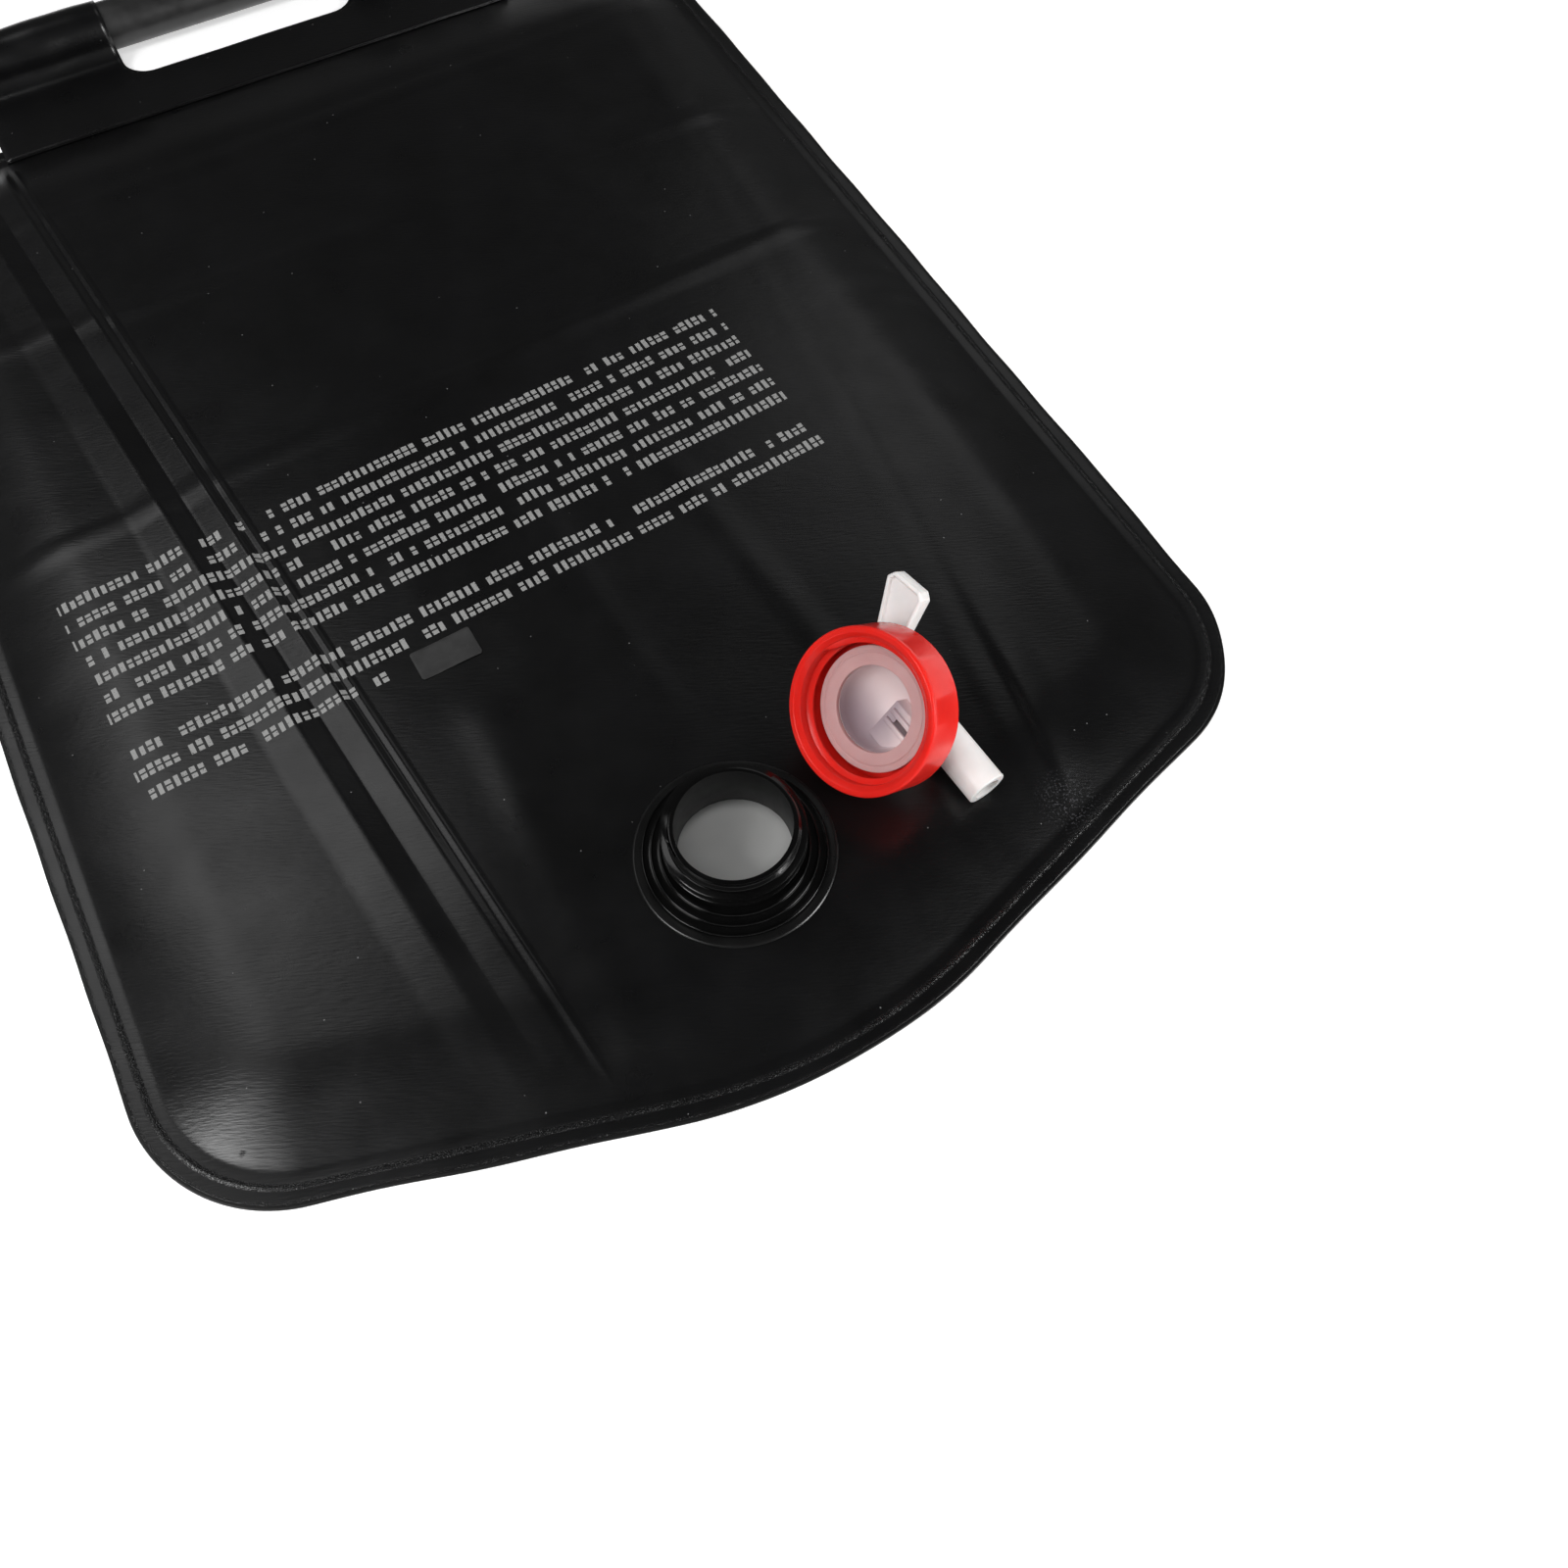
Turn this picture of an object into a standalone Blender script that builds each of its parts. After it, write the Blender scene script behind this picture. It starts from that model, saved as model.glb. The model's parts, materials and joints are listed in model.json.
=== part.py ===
"""Camp shower bag lying flat, with its filler neck open and its screw tap taken off and laid beside it.

Metres, +Z up. X runs across the bag, Y along it from the bottom tip to the handle, and the bag
rests on Z = 0 with the origin at the centre of its outline.
"""

import math

import bmesh
import bpy
from mathutils import Matrix, Vector

# General
CLEARANCE = 0.0003  # between two pieces that touch
OVERRUN = 0.002  # by which a cutter passes the faces it cuts
MERGE = 0.00005
ROUND_STEPS = 48
SMALL_STEPS = 28
TURN = math.tau

# The bag's outline
BAG_LENGTH = 0.600  # bottom tip to the top of the handle
BAG_WIDTH = 0.400
TIP_SLOPE = math.radians(16.7)  # the bottom edge falls this much towards its middle
TIP_RADIUS = 0.185
CORNER_RADIUS = 0.055
HANDLE_RISE = 0.058  # the handle's top above the sheets' top edge
EDGE_STEP = 0.0012  # the back sheet shows this much outside the front sheet

# The two sheets
BACK_THICKNESS = 0.0006
FRONT_THICKNESS = 0.0006
WELD_WIDTH = 0.010
SHOULDER_WIDTH = 0.034
SHOULDER_RISE = 0.0071
SHOULDER_WIDTH_SHARES = (0.18, 0.22, 0.26, 0.34)
SHOULDER_RISE_SHARES = (0.34, 0.32, 0.22, 0.12)

# The filler neck and the patch under it
NECK_FROM_TIP = 0.0768
NECK_BORE = 0.0188
NECK_LIP_RADIUS = 0.0204
NECK_LIP_HEIGHT = 0.0026
NECK_BODY_RADIUS = 0.0214
NECK_HEIGHT = 0.0188
NECK_THREAD_RADIUS = 0.0233
NECK_THREAD_START = 0.0056
NECK_THREAD_TURNS = 2.5
NECK_STEP_RADII = (0.0245, 0.0274, 0.0303)
NECK_STEP_HEIGHT = 0.0013
THREAD_PITCH = 0.0040
THREAD_CREST_WIDTH = 0.0008
THREAD_ROOT_WIDTH = 0.0024
THREAD_BITE = 0.0006  # how deep a thread ridge is sunk in the wall that carries it
PATCH_RADIUS = 0.0334
PATCH_THICKNESS = 0.0006
WELD_HOLE_RADIUS = 0.0194

# The blank label
LABEL_SIZE = (0.0228, 0.0124)
LABEL_THICKNESS = 0.0005
LABEL_FROM_NECK = (-0.0520, 0.1165)
LABEL_TURN = math.radians(2.0)

# The handle
TUBE_RADIUS = 0.0100
TUBE_BORE = 0.0078
TUBE_LENGTH = 0.262
TUBE_EDGE_ROUND = 0.0006
SLEEVE_WALL = 0.0008
SLEEVE_WIDTH = 0.240
STRAP_THICKNESS = 0.0012
STRAP_WELD = 0.011
HAND_HOLE_WIDTH = 0.110
HAND_HOLE_BELOW_TUBE = 0.018
HAND_HOLE_ROUND = 0.012

# The screw collar. Depths in the tap run from the collar's rim towards the tap's back.
COLLAR_RADIUS = 0.0274
COLLAR_HEIGHT = 0.0163
COLLAR_INNER_RADIUS = 0.0237
COLLAR_BACK_WALL = 0.0026
COLLAR_THREAD_RADIUS = 0.0219
COLLAR_THREAD_TURNS = 1.5
COLLAR_THREAD_START = 0.0016
COLLAR_EDGE_ROUND = 0.0008

# The sealing washer and the tap's body
WASHER_RADIUS = 0.0206
WASHER_BORE = 0.0142
WASHER_DEPTH = 0.0084
WASHER_THICKNESS = 0.0018
FLANGE_RADIUS = 0.0206
CHAMBER_RADIUS = 0.0164
CHAMBER_WALL = 0.0018
CHAMBER_STRAIGHT_DEPTH = 0.0136
CHAMBER_DEPTH = 0.0249
DOME_STEPS = 6
BLOCK_LOW = (0.0012, -0.0115)  # the block in the chamber, along the nozzle and along the lever
BLOCK_HIGH = (0.0150, 0.0042)
BLOCK_DEPTH = 0.0165
WEB_HALF_THICKNESS = 0.0055
WEB_OPEN_END = 0.0082
WEB_NOZZLE_END = 0.0124
BARREL_DEPTH = 0.0332
BARREL_RADIUS = 0.0080
BARREL_BORE = 0.0060
BARREL_OPEN_END = 0.0088
BARREL_NOZZLE_END = 0.0130
NOZZLE_RADIUS = 0.0069
NOZZLE_BORE = 0.0046
NOZZLE_REACH = 0.0392
NOZZLE_EDGE_ROUND = 0.0006
PORT_RADIUS = 0.0030
PORT_OFFSET = 0.0085  # towards the nozzle
PORT_SLOT = (-0.0019, 0.0003)  # the body's port is a slot this wide, along the lever

# The key and its lever
KEY_CLEARANCE = 0.0003
KEY_END = 0.0122
KEY_BORE = 0.0034
KEY_BORE_FLOOR = 0.0076
HUB_RADIUS = 0.0074
HUB_WIDTH = 0.0122
LEVER_LENGTH = 0.0297  # along its middle, from the hub's axis to its end
LEVER_RAKE = math.radians(21.5)
LEVER_FLARE = math.radians(8.2)  # each side's turn from the middle
LEVER_END_TURN = math.radians(9.1)  # the end's turn from the barrel's direction
LEVER_ROOT_WIDTH = 0.0081
LEVER_ROOT_SHIFT = 0.0020  # its root from the hub's middle, away from the nozzle
LEVER_THICKNESS = 0.0060
LEVER_RIM = 0.0012
LEVER_RECESS = 0.0012
LEVER_FAR_CHAMFER = 0.0029
LEVER_NEAR_CHAMFER = 0.0021  # at the end's corner next to the nozzle
LEVER_OPEN_TURN = math.radians(70.0)  # from rest until the key's port meets the body's

# How the loose tap lies on the bag
TAP_FROM_NECK = (0.0506, 0.0099)  # the rim's centre, across and along the bag
TAP_TILT = math.radians(51.7)  # the collar's axis, from straight up
TAP_HEADING = math.radians(191.9)  # the way that it leans, from +X

# Worked out
SLEEVE_BORE = TUBE_RADIUS + CLEARANCE
SLEEVE_RADIUS = SLEEVE_BORE + SLEEVE_WALL
TIP_Y = -BAG_LENGTH / 2
TOP_EDGE_Y = BAG_LENGTH / 2 - HANDLE_RISE
TUBE_Y = BAG_LENGTH / 2 - SLEEVE_RADIUS
NECK_Y = TIP_Y + NECK_FROM_TIP
FLANGE_BOTTOM = BACK_THICKNESS + CLEARANCE
FLANGE_TOP = FLANGE_BOTTOM + FRONT_THICKNESS
SHEET_TOP = FLANGE_TOP + SHOULDER_RISE
PATCH_BOTTOM = SHEET_TOP + CLEARANCE
NECK_BOTTOM = PATCH_BOTTOM + PATCH_THICKNESS + CLEARANCE
STRAP_BOTTOM = FLANGE_TOP + CLEARANCE
FLANGE_DEPTH = WASHER_DEPTH + WASHER_THICKNESS + CLEARANCE
FLANGE_BACK = COLLAR_HEIGHT - COLLAR_BACK_WALL - CLEARANCE
KEY_RADIUS = BARREL_BORE - KEY_CLEARANCE
HUB_START = BARREL_OPEN_END + KEY_CLEARANCE
LEVER_ROOT = HUB_START + HUB_WIDTH / 2 + LEVER_ROOT_SHIFT


def new_collection(name):
    collection = bpy.data.collections.new(name)
    bpy.context.scene.collection.children.link(collection)
    return collection


def clear_scene():
    for obj in list(bpy.data.objects):
        bpy.data.objects.remove(obj, do_unlink=True)


clear_scene()
PARTS = new_collection("camp_shower_bag")
CUTTERS = new_collection("cutters")


def plain_material(name, colour, roughness, alpha=1.0):
    made = bpy.data.materials.new(name)
    made.use_nodes = True
    shader = made.node_tree.nodes["Principled BSDF"]
    shader.inputs["Base Color"].default_value = (*colour, 1.0)
    shader.inputs["Roughness"].default_value = roughness
    shader.inputs["Metallic"].default_value = 0.0
    shader.inputs["Alpha"].default_value = alpha
    return made


def add_part(name, mesh, made_of=None):
    obj = bpy.data.objects.new(name, mesh)
    PARTS.objects.link(obj)
    if made_of:
        obj.data.materials.append(made_of)
    return obj


def as_cutter(obj):
    """Takes a helper out of the model: it only shapes the piece that names it."""
    for collection in list(obj.users_collection):
        collection.objects.unlink(obj)
    CUTTERS.objects.link(obj)
    obj.hide_render = True
    obj.display_type = "WIRE"
    return obj


def mesh_of(name, bm):
    mesh = bpy.data.meshes.new(name)
    bm.to_mesh(mesh)
    bm.free()
    return mesh


def combine(obj, other, operation):
    modifier = obj.modifiers.new(operation.title(), "BOOLEAN")
    modifier.object = other
    modifier.operation = operation
    modifier.solver = "EXACT"
    return modifier


def shade(obj, angle=math.radians(35.0)):
    obj.data.shade_smooth()
    obj.data.set_sharp_from_angle(angle=angle)


def turned(name, profile, steps=ROUND_STEPS, closed=True, made_of=None):
    """A profile of (radius, height) points turned round its own Z axis. Its outer side runs down."""
    bm = bmesh.new()
    points = [bm.verts.new((radius, 0.0, height)) for radius, height in profile]
    for start, end in zip(points, points[1:]):
        bm.edges.new((start, end))
    if closed:
        bm.edges.new((points[-1], points[0]))
    obj = add_part(name, mesh_of(name, bm), made_of)
    screw = obj.modifiers.new("Turn", "SCREW")
    screw.steps = screw.render_steps = steps
    screw.use_merge_vertices = True
    screw.merge_threshold = MERGE
    screw.use_smooth_shade = True
    return obj


def helix_ridge(name, section, turns):
    """A closed section of (radius, height) points swept up a helix of the thread's pitch."""
    bm = bmesh.new()
    points = [bm.verts.new((radius, 0.0, height)) for radius, height in section]
    bmesh.ops.spin(
        bm, geom=[bm.faces.new(points)], cent=(0.0, 0.0, 0.0), axis=(0.0, 0.0, 1.0),
        dvec=(0.0, 0.0, THREAD_PITCH / ROUND_STEPS), angle=TURN * turns,
        steps=round(turns * ROUND_STEPS))
    open_edges = [edge for edge in bm.edges if edge.is_boundary]
    bmesh.ops.holes_fill(bm, edges=open_edges, sides=len(section))
    bmesh.ops.recalc_face_normals(bm, faces=bm.faces)
    return as_cutter(add_part(name, mesh_of(name, bm)))


def thread_section(wall_radius, crest_radius, height):
    """A trapezoid ridge: wide where it is sunk in the wall, narrow at its crest."""
    inwards = -1.0 if crest_radius > wall_radius else 1.0
    root = wall_radius + inwards * THREAD_BITE
    return [
        (root, height - THREAD_ROOT_WIDTH / 2),
        (crest_radius, height - THREAD_CREST_WIDTH / 2),
        (crest_radius, height + THREAD_CREST_WIDTH / 2),
        (root, height + THREAD_ROOT_WIDTH / 2),
    ]


def rounded_corner(corner, before, after, radius, step=math.radians(9.0)):
    """Points of the arc that rounds one corner of an outline that runs counterclockwise."""
    to_before = (before - corner).normalized()
    to_after = (after - corner).normalized()
    half = to_before.angle(to_after) / 2
    centre = corner + (to_before + to_after).normalized() * (radius / math.sin(half))
    sweep = math.pi - 2 * half
    first = corner + to_before * (radius / math.tan(half)) - centre
    count = max(2, math.ceil(sweep / step))
    return [centre + Matrix.Rotation(sweep * i / count, 2) @ first for i in range(count + 1)]


def bag_outline(inset):
    """The bag's outline as 2D points, drawn in by a distance all round."""
    half = BAG_WIDTH / 2 - inset
    top = TOP_EDGE_Y - inset
    lift = TIP_RADIUS * (1.0 / math.cos(TIP_SLOPE) - 1.0)
    tip = TIP_Y - lift + inset / math.cos(TIP_SLOPE)
    side = tip + half * math.tan(TIP_SLOPE)
    corners = [
        (Vector((0.0, tip)), TIP_RADIUS - inset),
        (Vector((half, side)), CORNER_RADIUS - inset),
        (Vector((half, top)), CORNER_RADIUS - inset),
        (Vector((-half, top)), CORNER_RADIUS - inset),
        (Vector((-half, side)), CORNER_RADIUS - inset),
    ]
    points = []
    for index, (corner, radius) in enumerate(corners):
        before = corners[index - 1][0]
        after = corners[(index + 1) % len(corners)][0]
        points += rounded_corner(corner, before, after, radius)
    return points


def make_back_sheet():
    """A flat sheet that lies on the ground."""
    bm = bmesh.new()
    bm.faces.new([bm.verts.new((point.x, point.y, 0.0)) for point in bag_outline(0.0)])
    obj = add_part("back_sheet", mesh_of("back_sheet", bm), SMOKY_SHEET)
    wall = obj.modifiers.new("Sheet", "SOLIDIFY")
    wall.thickness = BACK_THICKNESS
    wall.offset = 1.0
    return obj


def neck_cutter(name, radius):
    bm = bmesh.new()
    height = NECK_BOTTOM + NECK_HEIGHT
    bmesh.ops.create_cone(
        bm, cap_ends=True, segments=ROUND_STEPS, radius1=radius, radius2=radius, depth=height)
    obj = as_cutter(add_part(name, mesh_of(name, bm)))
    obj.location = (0.0, NECK_Y, BACK_THICKNESS + OVERRUN + height / 2)
    return obj


def make_front_sheet():
    """Flat weld all round, then a rounded shoulder up to a level middle that carries the neck."""
    inset, height = EDGE_STEP, FLANGE_TOP
    levels = [(inset, height)]
    inset += WELD_WIDTH
    levels.append((inset, height))
    for width, rise in zip(SHOULDER_WIDTH_SHARES, SHOULDER_RISE_SHARES):
        inset += SHOULDER_WIDTH * width
        height += SHOULDER_RISE * rise
        levels.append((inset, height))
    bm = bmesh.new()
    loops = []
    for inset, height in levels:
        points = [bm.verts.new((point.x, point.y, height)) for point in bag_outline(inset)]
        loops.append([bm.edges.new((points[i - 1], points[i])) for i in range(len(points))])
    for outer, inner in zip(loops, loops[1:]):
        bmesh.ops.bridge_loops(bm, edges=outer + inner)
    bm.faces.new(points)
    bmesh.ops.recalc_face_normals(bm, faces=bm.faces)
    if sum(face.normal.z for face in bm.faces) < 0:
        bmesh.ops.reverse_faces(bm, faces=bm.faces)
    obj = add_part("front_sheet", mesh_of("front_sheet", bm), BLACK_SHEET)
    wall = obj.modifiers.new("Sheet", "SOLIDIFY")
    wall.thickness = FRONT_THICKNESS
    wall.offset = -1.0
    combine(obj, neck_cutter("sheet_hole", WELD_HOLE_RADIUS), "DIFFERENCE")
    return obj


def ring_profile(inner, outer, bottom, top):
    return [(outer, top), (outer, bottom), (inner, bottom), (inner, top)]


def make_neck_patch():
    profile = ring_profile(WELD_HOLE_RADIUS, PATCH_RADIUS, 0.0, PATCH_THICKNESS)
    obj = turned("neck_patch", profile, made_of=BLACK_SHEET)
    obj.location = (0.0, NECK_Y, PATCH_BOTTOM)
    return obj


def make_filler_neck():
    """Steps round the base, then a threaded tube with a plain lip."""
    lip_bottom = NECK_HEIGHT - NECK_LIP_HEIGHT
    profile = [
        (NECK_LIP_RADIUS, NECK_HEIGHT),
        (NECK_LIP_RADIUS, lip_bottom + (NECK_BODY_RADIUS - NECK_LIP_RADIUS)),
        (NECK_BODY_RADIUS, lip_bottom),
    ]
    inner = NECK_BODY_RADIUS
    for level, radius in zip(range(len(NECK_STEP_RADII), 0, -1), NECK_STEP_RADII):
        profile.append((inner, NECK_STEP_HEIGHT * level))
        profile.append((radius, NECK_STEP_HEIGHT * level))
        inner = radius
    profile += [(inner, 0.0), (NECK_BORE, 0.0), (NECK_BORE, NECK_HEIGHT)]
    obj = turned("filler_neck", profile, made_of=BLACK_MOULDING)
    obj.location = (0.0, NECK_Y, NECK_BOTTOM)
    start = NECK_THREAD_START + THREAD_ROOT_WIDTH / 2
    section = thread_section(NECK_BODY_RADIUS, NECK_THREAD_RADIUS, start)
    ridge = helix_ridge("neck_thread", section, NECK_THREAD_TURNS)
    ridge.location = obj.location
    combine(obj, ridge, "UNION")
    return obj


def make_label_patch():
    bm = bmesh.new()
    bmesh.ops.create_cube(bm, size=1.0)
    bmesh.ops.scale(bm, vec=(*LABEL_SIZE, LABEL_THICKNESS), verts=bm.verts)
    obj = add_part("label_patch", mesh_of("label_patch", bm), LABEL_FILM)
    bottom = SHEET_TOP + CLEARANCE
    obj.location = (LABEL_FROM_NECK[0], NECK_Y + LABEL_FROM_NECK[1], bottom + LABEL_THICKNESS / 2)
    obj.rotation_euler.z = LABEL_TURN
    return obj


def along_x(obj):
    """Turns a piece made round its Z axis so that the axis lies along the bag's width."""
    obj.location = (0.0, TUBE_Y, SLEEVE_RADIUS)
    obj.rotation_euler.y = TURN / 4
    return obj


def make_handle_tube():
    half = TUBE_LENGTH / 2
    profile = [
        (TUBE_RADIUS - TUBE_EDGE_ROUND, half),
        (TUBE_RADIUS, half - TUBE_EDGE_ROUND),
        (TUBE_RADIUS, TUBE_EDGE_ROUND - half),
        (TUBE_RADIUS - TUBE_EDGE_ROUND, -half),
        (TUBE_BORE, -half),
        (TUBE_BORE, half),
    ]
    return along_x(turned("handle_tube", profile, steps=SMALL_STEPS, made_of=TUBE_PLASTIC))


def box(name, low, high, round_radius=0.0):
    """A block between two corners, its upright edges rounded if asked."""
    low, high = Vector(low), Vector(high)
    bm = bmesh.new()
    bmesh.ops.create_cube(bm, size=1.0)
    bmesh.ops.scale(bm, vec=high - low, verts=bm.verts)
    bmesh.ops.translate(bm, vec=(low + high) / 2, verts=bm.verts)
    if round_radius:
        upright = [e for e in bm.edges if abs((e.verts[0].co - e.verts[1].co).normalized().z) > 0.9]
        bmesh.ops.bevel(
            bm, geom=upright, offset=round_radius, segments=5, profile=0.5, affect="EDGES",
            material=-1)
    return add_part(name, mesh_of(name, bm))


def make_handle_sleeve():
    """A strip welded on the top edge and folded round the tube, open in the middle for a hand."""
    half = SLEEVE_WIDTH / 2
    profile = ring_profile(SLEEVE_BORE, SLEEVE_RADIUS, -half, half)
    obj = along_x(turned("handle_sleeve", profile, steps=SMALL_STEPS, made_of=BLACK_SHEET))
    strap_top = STRAP_BOTTOM + STRAP_THICKNESS
    drop = SLEEVE_RADIUS - (STRAP_BOTTOM + STRAP_THICKNESS / 2)
    reach = math.sqrt(SLEEVE_RADIUS ** 2 - drop ** 2)
    strap = as_cutter(box(
        "sleeve_strap", (-half, TOP_EDGE_Y - STRAP_WELD, STRAP_BOTTOM),
        (half, TUBE_Y - reach + SLEEVE_WALL, strap_top)))
    combine(obj, strap, "UNION")
    hole_bottom = TUBE_Y - SLEEVE_RADIUS - HAND_HOLE_BELOW_TUBE
    hole = as_cutter(box(
        "hand_hole", (-HAND_HOLE_WIDTH / 2, hole_bottom, -OVERRUN),
        (HAND_HOLE_WIDTH / 2, TUBE_Y + SLEEVE_RADIUS + HAND_HOLE_ROUND + OVERRUN,
         2 * SLEEVE_RADIUS + OVERRUN), HAND_HOLE_ROUND))
    combine(obj, hole, "DIFFERENCE")
    return obj


def tap_frame():
    """Where the loose tap lies: X along its nozzle, Z out of its open side, origin at the rim's centre.

    The collar's back edge and the nozzle's mouth both rest on the front sheet.
    """
    out = Vector((
        math.sin(TAP_TILT) * math.cos(TAP_HEADING),
        math.sin(TAP_TILT) * math.sin(TAP_HEADING),
        math.cos(TAP_TILT)))
    rest = SHEET_TOP + CLEARANCE
    rim_height = rest + COLLAR_HEIGHT * math.cos(TAP_TILT) + COLLAR_RADIUS * math.sin(TAP_TILT)
    barrel_height = rim_height - BARREL_DEPTH * math.cos(TAP_TILT)
    level = Vector((0.0, 0.0, 1.0)).cross(out).normalized()
    steep = out.cross(level)
    roll = 0.0
    for _ in range(8):
        edge_drop = NOZZLE_RADIUS * math.sqrt(1.0 - (math.sin(roll) * steep.z) ** 2)
        dip = (barrel_height - rest - edge_drop) / NOZZLE_REACH
        roll = -math.asin(dip / steep.z)
    along = (level * math.cos(roll) + steep * math.sin(roll)).normalized()
    side = out.cross(along)
    centre = Vector((TAP_FROM_NECK[0], NECK_Y + TAP_FROM_NECK[1], rim_height))
    turn = Matrix((along, side, out)).transposed().to_4x4()
    return Matrix.Translation(centre) @ turn


def on_tap(obj, turn=None, depth=0.0):
    """Hangs a piece on the tap's empty, at a depth behind the rim, turned if asked."""
    obj.parent = TAP
    obj.matrix_basis = Matrix.Translation((0.0, 0.0, -depth)) @ (turn or Matrix.Identity(4))
    return obj


def make_screw_collar():
    """Threaded ring with a wall at its back that draws the tap's flange onto the neck."""
    inner_floor = COLLAR_BACK_WALL - COLLAR_HEIGHT
    hole = CHAMBER_RADIUS + CLEARANCE
    profile = [
        (COLLAR_RADIUS - COLLAR_EDGE_ROUND, 0.0),
        (COLLAR_RADIUS, -COLLAR_EDGE_ROUND),
        (COLLAR_RADIUS, -COLLAR_HEIGHT),
        (hole, -COLLAR_HEIGHT),
        (hole, inner_floor),
        (COLLAR_INNER_RADIUS, inner_floor),
        (COLLAR_INNER_RADIUS, 0.0),
    ]
    obj = on_tap(turned("screw_collar", profile, made_of=RED_MOULDING))
    rise = THREAD_PITCH * COLLAR_THREAD_TURNS
    height = -COLLAR_THREAD_START - THREAD_ROOT_WIDTH / 2 - rise
    section = thread_section(COLLAR_INNER_RADIUS, COLLAR_THREAD_RADIUS, height)
    ridge = on_tap(helix_ridge("collar_thread", section, COLLAR_THREAD_TURNS))
    combine(obj, ridge, "UNION")
    return obj


def make_sealing_washer():
    profile = ring_profile(WASHER_BORE, WASHER_RADIUS, -WASHER_THICKNESS, 0.0)
    return on_tap(turned("sealing_washer", profile, made_of=PALE_WASHER), depth=WASHER_DEPTH)


def chamber_profile():
    """Flange, then a dome that closes just in front of the barrel."""
    dome_outer = CHAMBER_DEPTH - CHAMBER_STRAIGHT_DEPTH
    bore = WASHER_BORE
    dome_inner = dome_outer - CHAMBER_WALL
    outer, inner = [], []
    for i in range(DOME_STEPS + 1):
        angle = TURN / 4 * i / DOME_STEPS
        across, down = math.cos(angle), math.sin(angle)
        outer.append((CHAMBER_RADIUS * across, -CHAMBER_STRAIGHT_DEPTH - dome_outer * down))
        inner.append((bore * across, -CHAMBER_STRAIGHT_DEPTH - dome_inner * down))
    outer[-1] = (0.0, outer[-1][1])
    inner[-1] = (0.0, inner[-1][1])
    front = [
        (bore, -FLANGE_DEPTH),
        (FLANGE_RADIUS, -FLANGE_DEPTH),
        (FLANGE_RADIUS, -FLANGE_BACK),
        (CHAMBER_RADIUS, -FLANGE_BACK),
    ]
    return inner[::-1] + front + outer


ALONG_NOZZLE = Matrix.Rotation(TURN / 4, 4, "Y")  # a turned piece's Z axis onto the nozzle's way


def make_tap_body():
    """Flange, water chamber, cross barrel for the key, and the outlet nozzle."""
    obj = on_tap(turned("tap_body", chamber_profile(), closed=False, made_of=WHITE_MOULDING))
    barrel_profile = [
        (0.0, NOZZLE_REACH),
        (NOZZLE_RADIUS - NOZZLE_EDGE_ROUND, NOZZLE_REACH),
        (NOZZLE_RADIUS, NOZZLE_REACH - NOZZLE_EDGE_ROUND),
        (NOZZLE_RADIUS, BARREL_NOZZLE_END + (BARREL_RADIUS - NOZZLE_RADIUS)),
        (BARREL_RADIUS, BARREL_NOZZLE_END),
        (BARREL_RADIUS, -BARREL_OPEN_END),
        (0.0, -BARREL_OPEN_END),
    ]
    barrel = turned("barrel_outside", barrel_profile, steps=SMALL_STEPS, closed=False)
    as_cutter(on_tap(barrel, ALONG_NOZZLE, BARREL_DEPTH))
    combine(obj, barrel, "UNION")
    web_top = CHAMBER_DEPTH - CHAMBER_WALL / 3
    web = as_cutter(on_tap(box(
        "barrel_web", (-WEB_OPEN_END, -WEB_HALF_THICKNESS, -BARREL_DEPTH),
        (WEB_NOZZLE_END, WEB_HALF_THICKNESS, -web_top))))
    combine(obj, web, "UNION")
    block = box("chamber_block", (*BLOCK_LOW, -CHAMBER_DEPTH), (*BLOCK_HIGH, -BLOCK_DEPTH))
    trim = as_cutter(on_tap(block))
    rounded = as_cutter(on_tap(turned("block_limit", block_limit_profile(), closed=False)))
    combine(trim, rounded, "INTERSECT")
    combine(obj, trim, "UNION")
    bore_profile = [
        (0.0, NOZZLE_REACH + OVERRUN),
        (NOZZLE_BORE, NOZZLE_REACH + OVERRUN),
        (NOZZLE_BORE, KEY_END + KEY_CLEARANCE),
        (BARREL_BORE, KEY_END + KEY_CLEARANCE),
        (BARREL_BORE, -BARREL_OPEN_END - OVERRUN),
        (0.0, -BARREL_OPEN_END - OVERRUN),
    ]
    bore = turned("barrel_bore", bore_profile, steps=SMALL_STEPS, closed=False)
    as_cutter(on_tap(bore, ALONG_NOZZLE, BARREL_DEPTH))
    port = as_cutter(on_tap(box(
        "body_port", (PORT_OFFSET - PORT_RADIUS, PORT_SLOT[0], -BARREL_DEPTH),
        (PORT_OFFSET + PORT_RADIUS, PORT_SLOT[1], OVERRUN - BLOCK_DEPTH))))
    combine(bore, port, "UNION")
    combine(obj, bore, "DIFFERENCE")
    return obj


def block_limit_profile():
    """A plug that ends in the middle of the chamber's wall, so that the block reaches the wall."""
    middle = CHAMBER_RADIUS - CHAMBER_WALL / 2
    depth = CHAMBER_DEPTH - CHAMBER_WALL / 2 - CHAMBER_STRAIGHT_DEPTH
    points = [(0.0, -FLANGE_BACK), (middle, -FLANGE_BACK)]
    for i in range(DOME_STEPS):
        angle = TURN / 4 * i / DOME_STEPS
        points.append((middle * math.cos(angle), -CHAMBER_STRAIGHT_DEPTH - depth * math.sin(angle)))
    return points + [(0.0, -CHAMBER_STRAIGHT_DEPTH - depth)]


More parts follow.
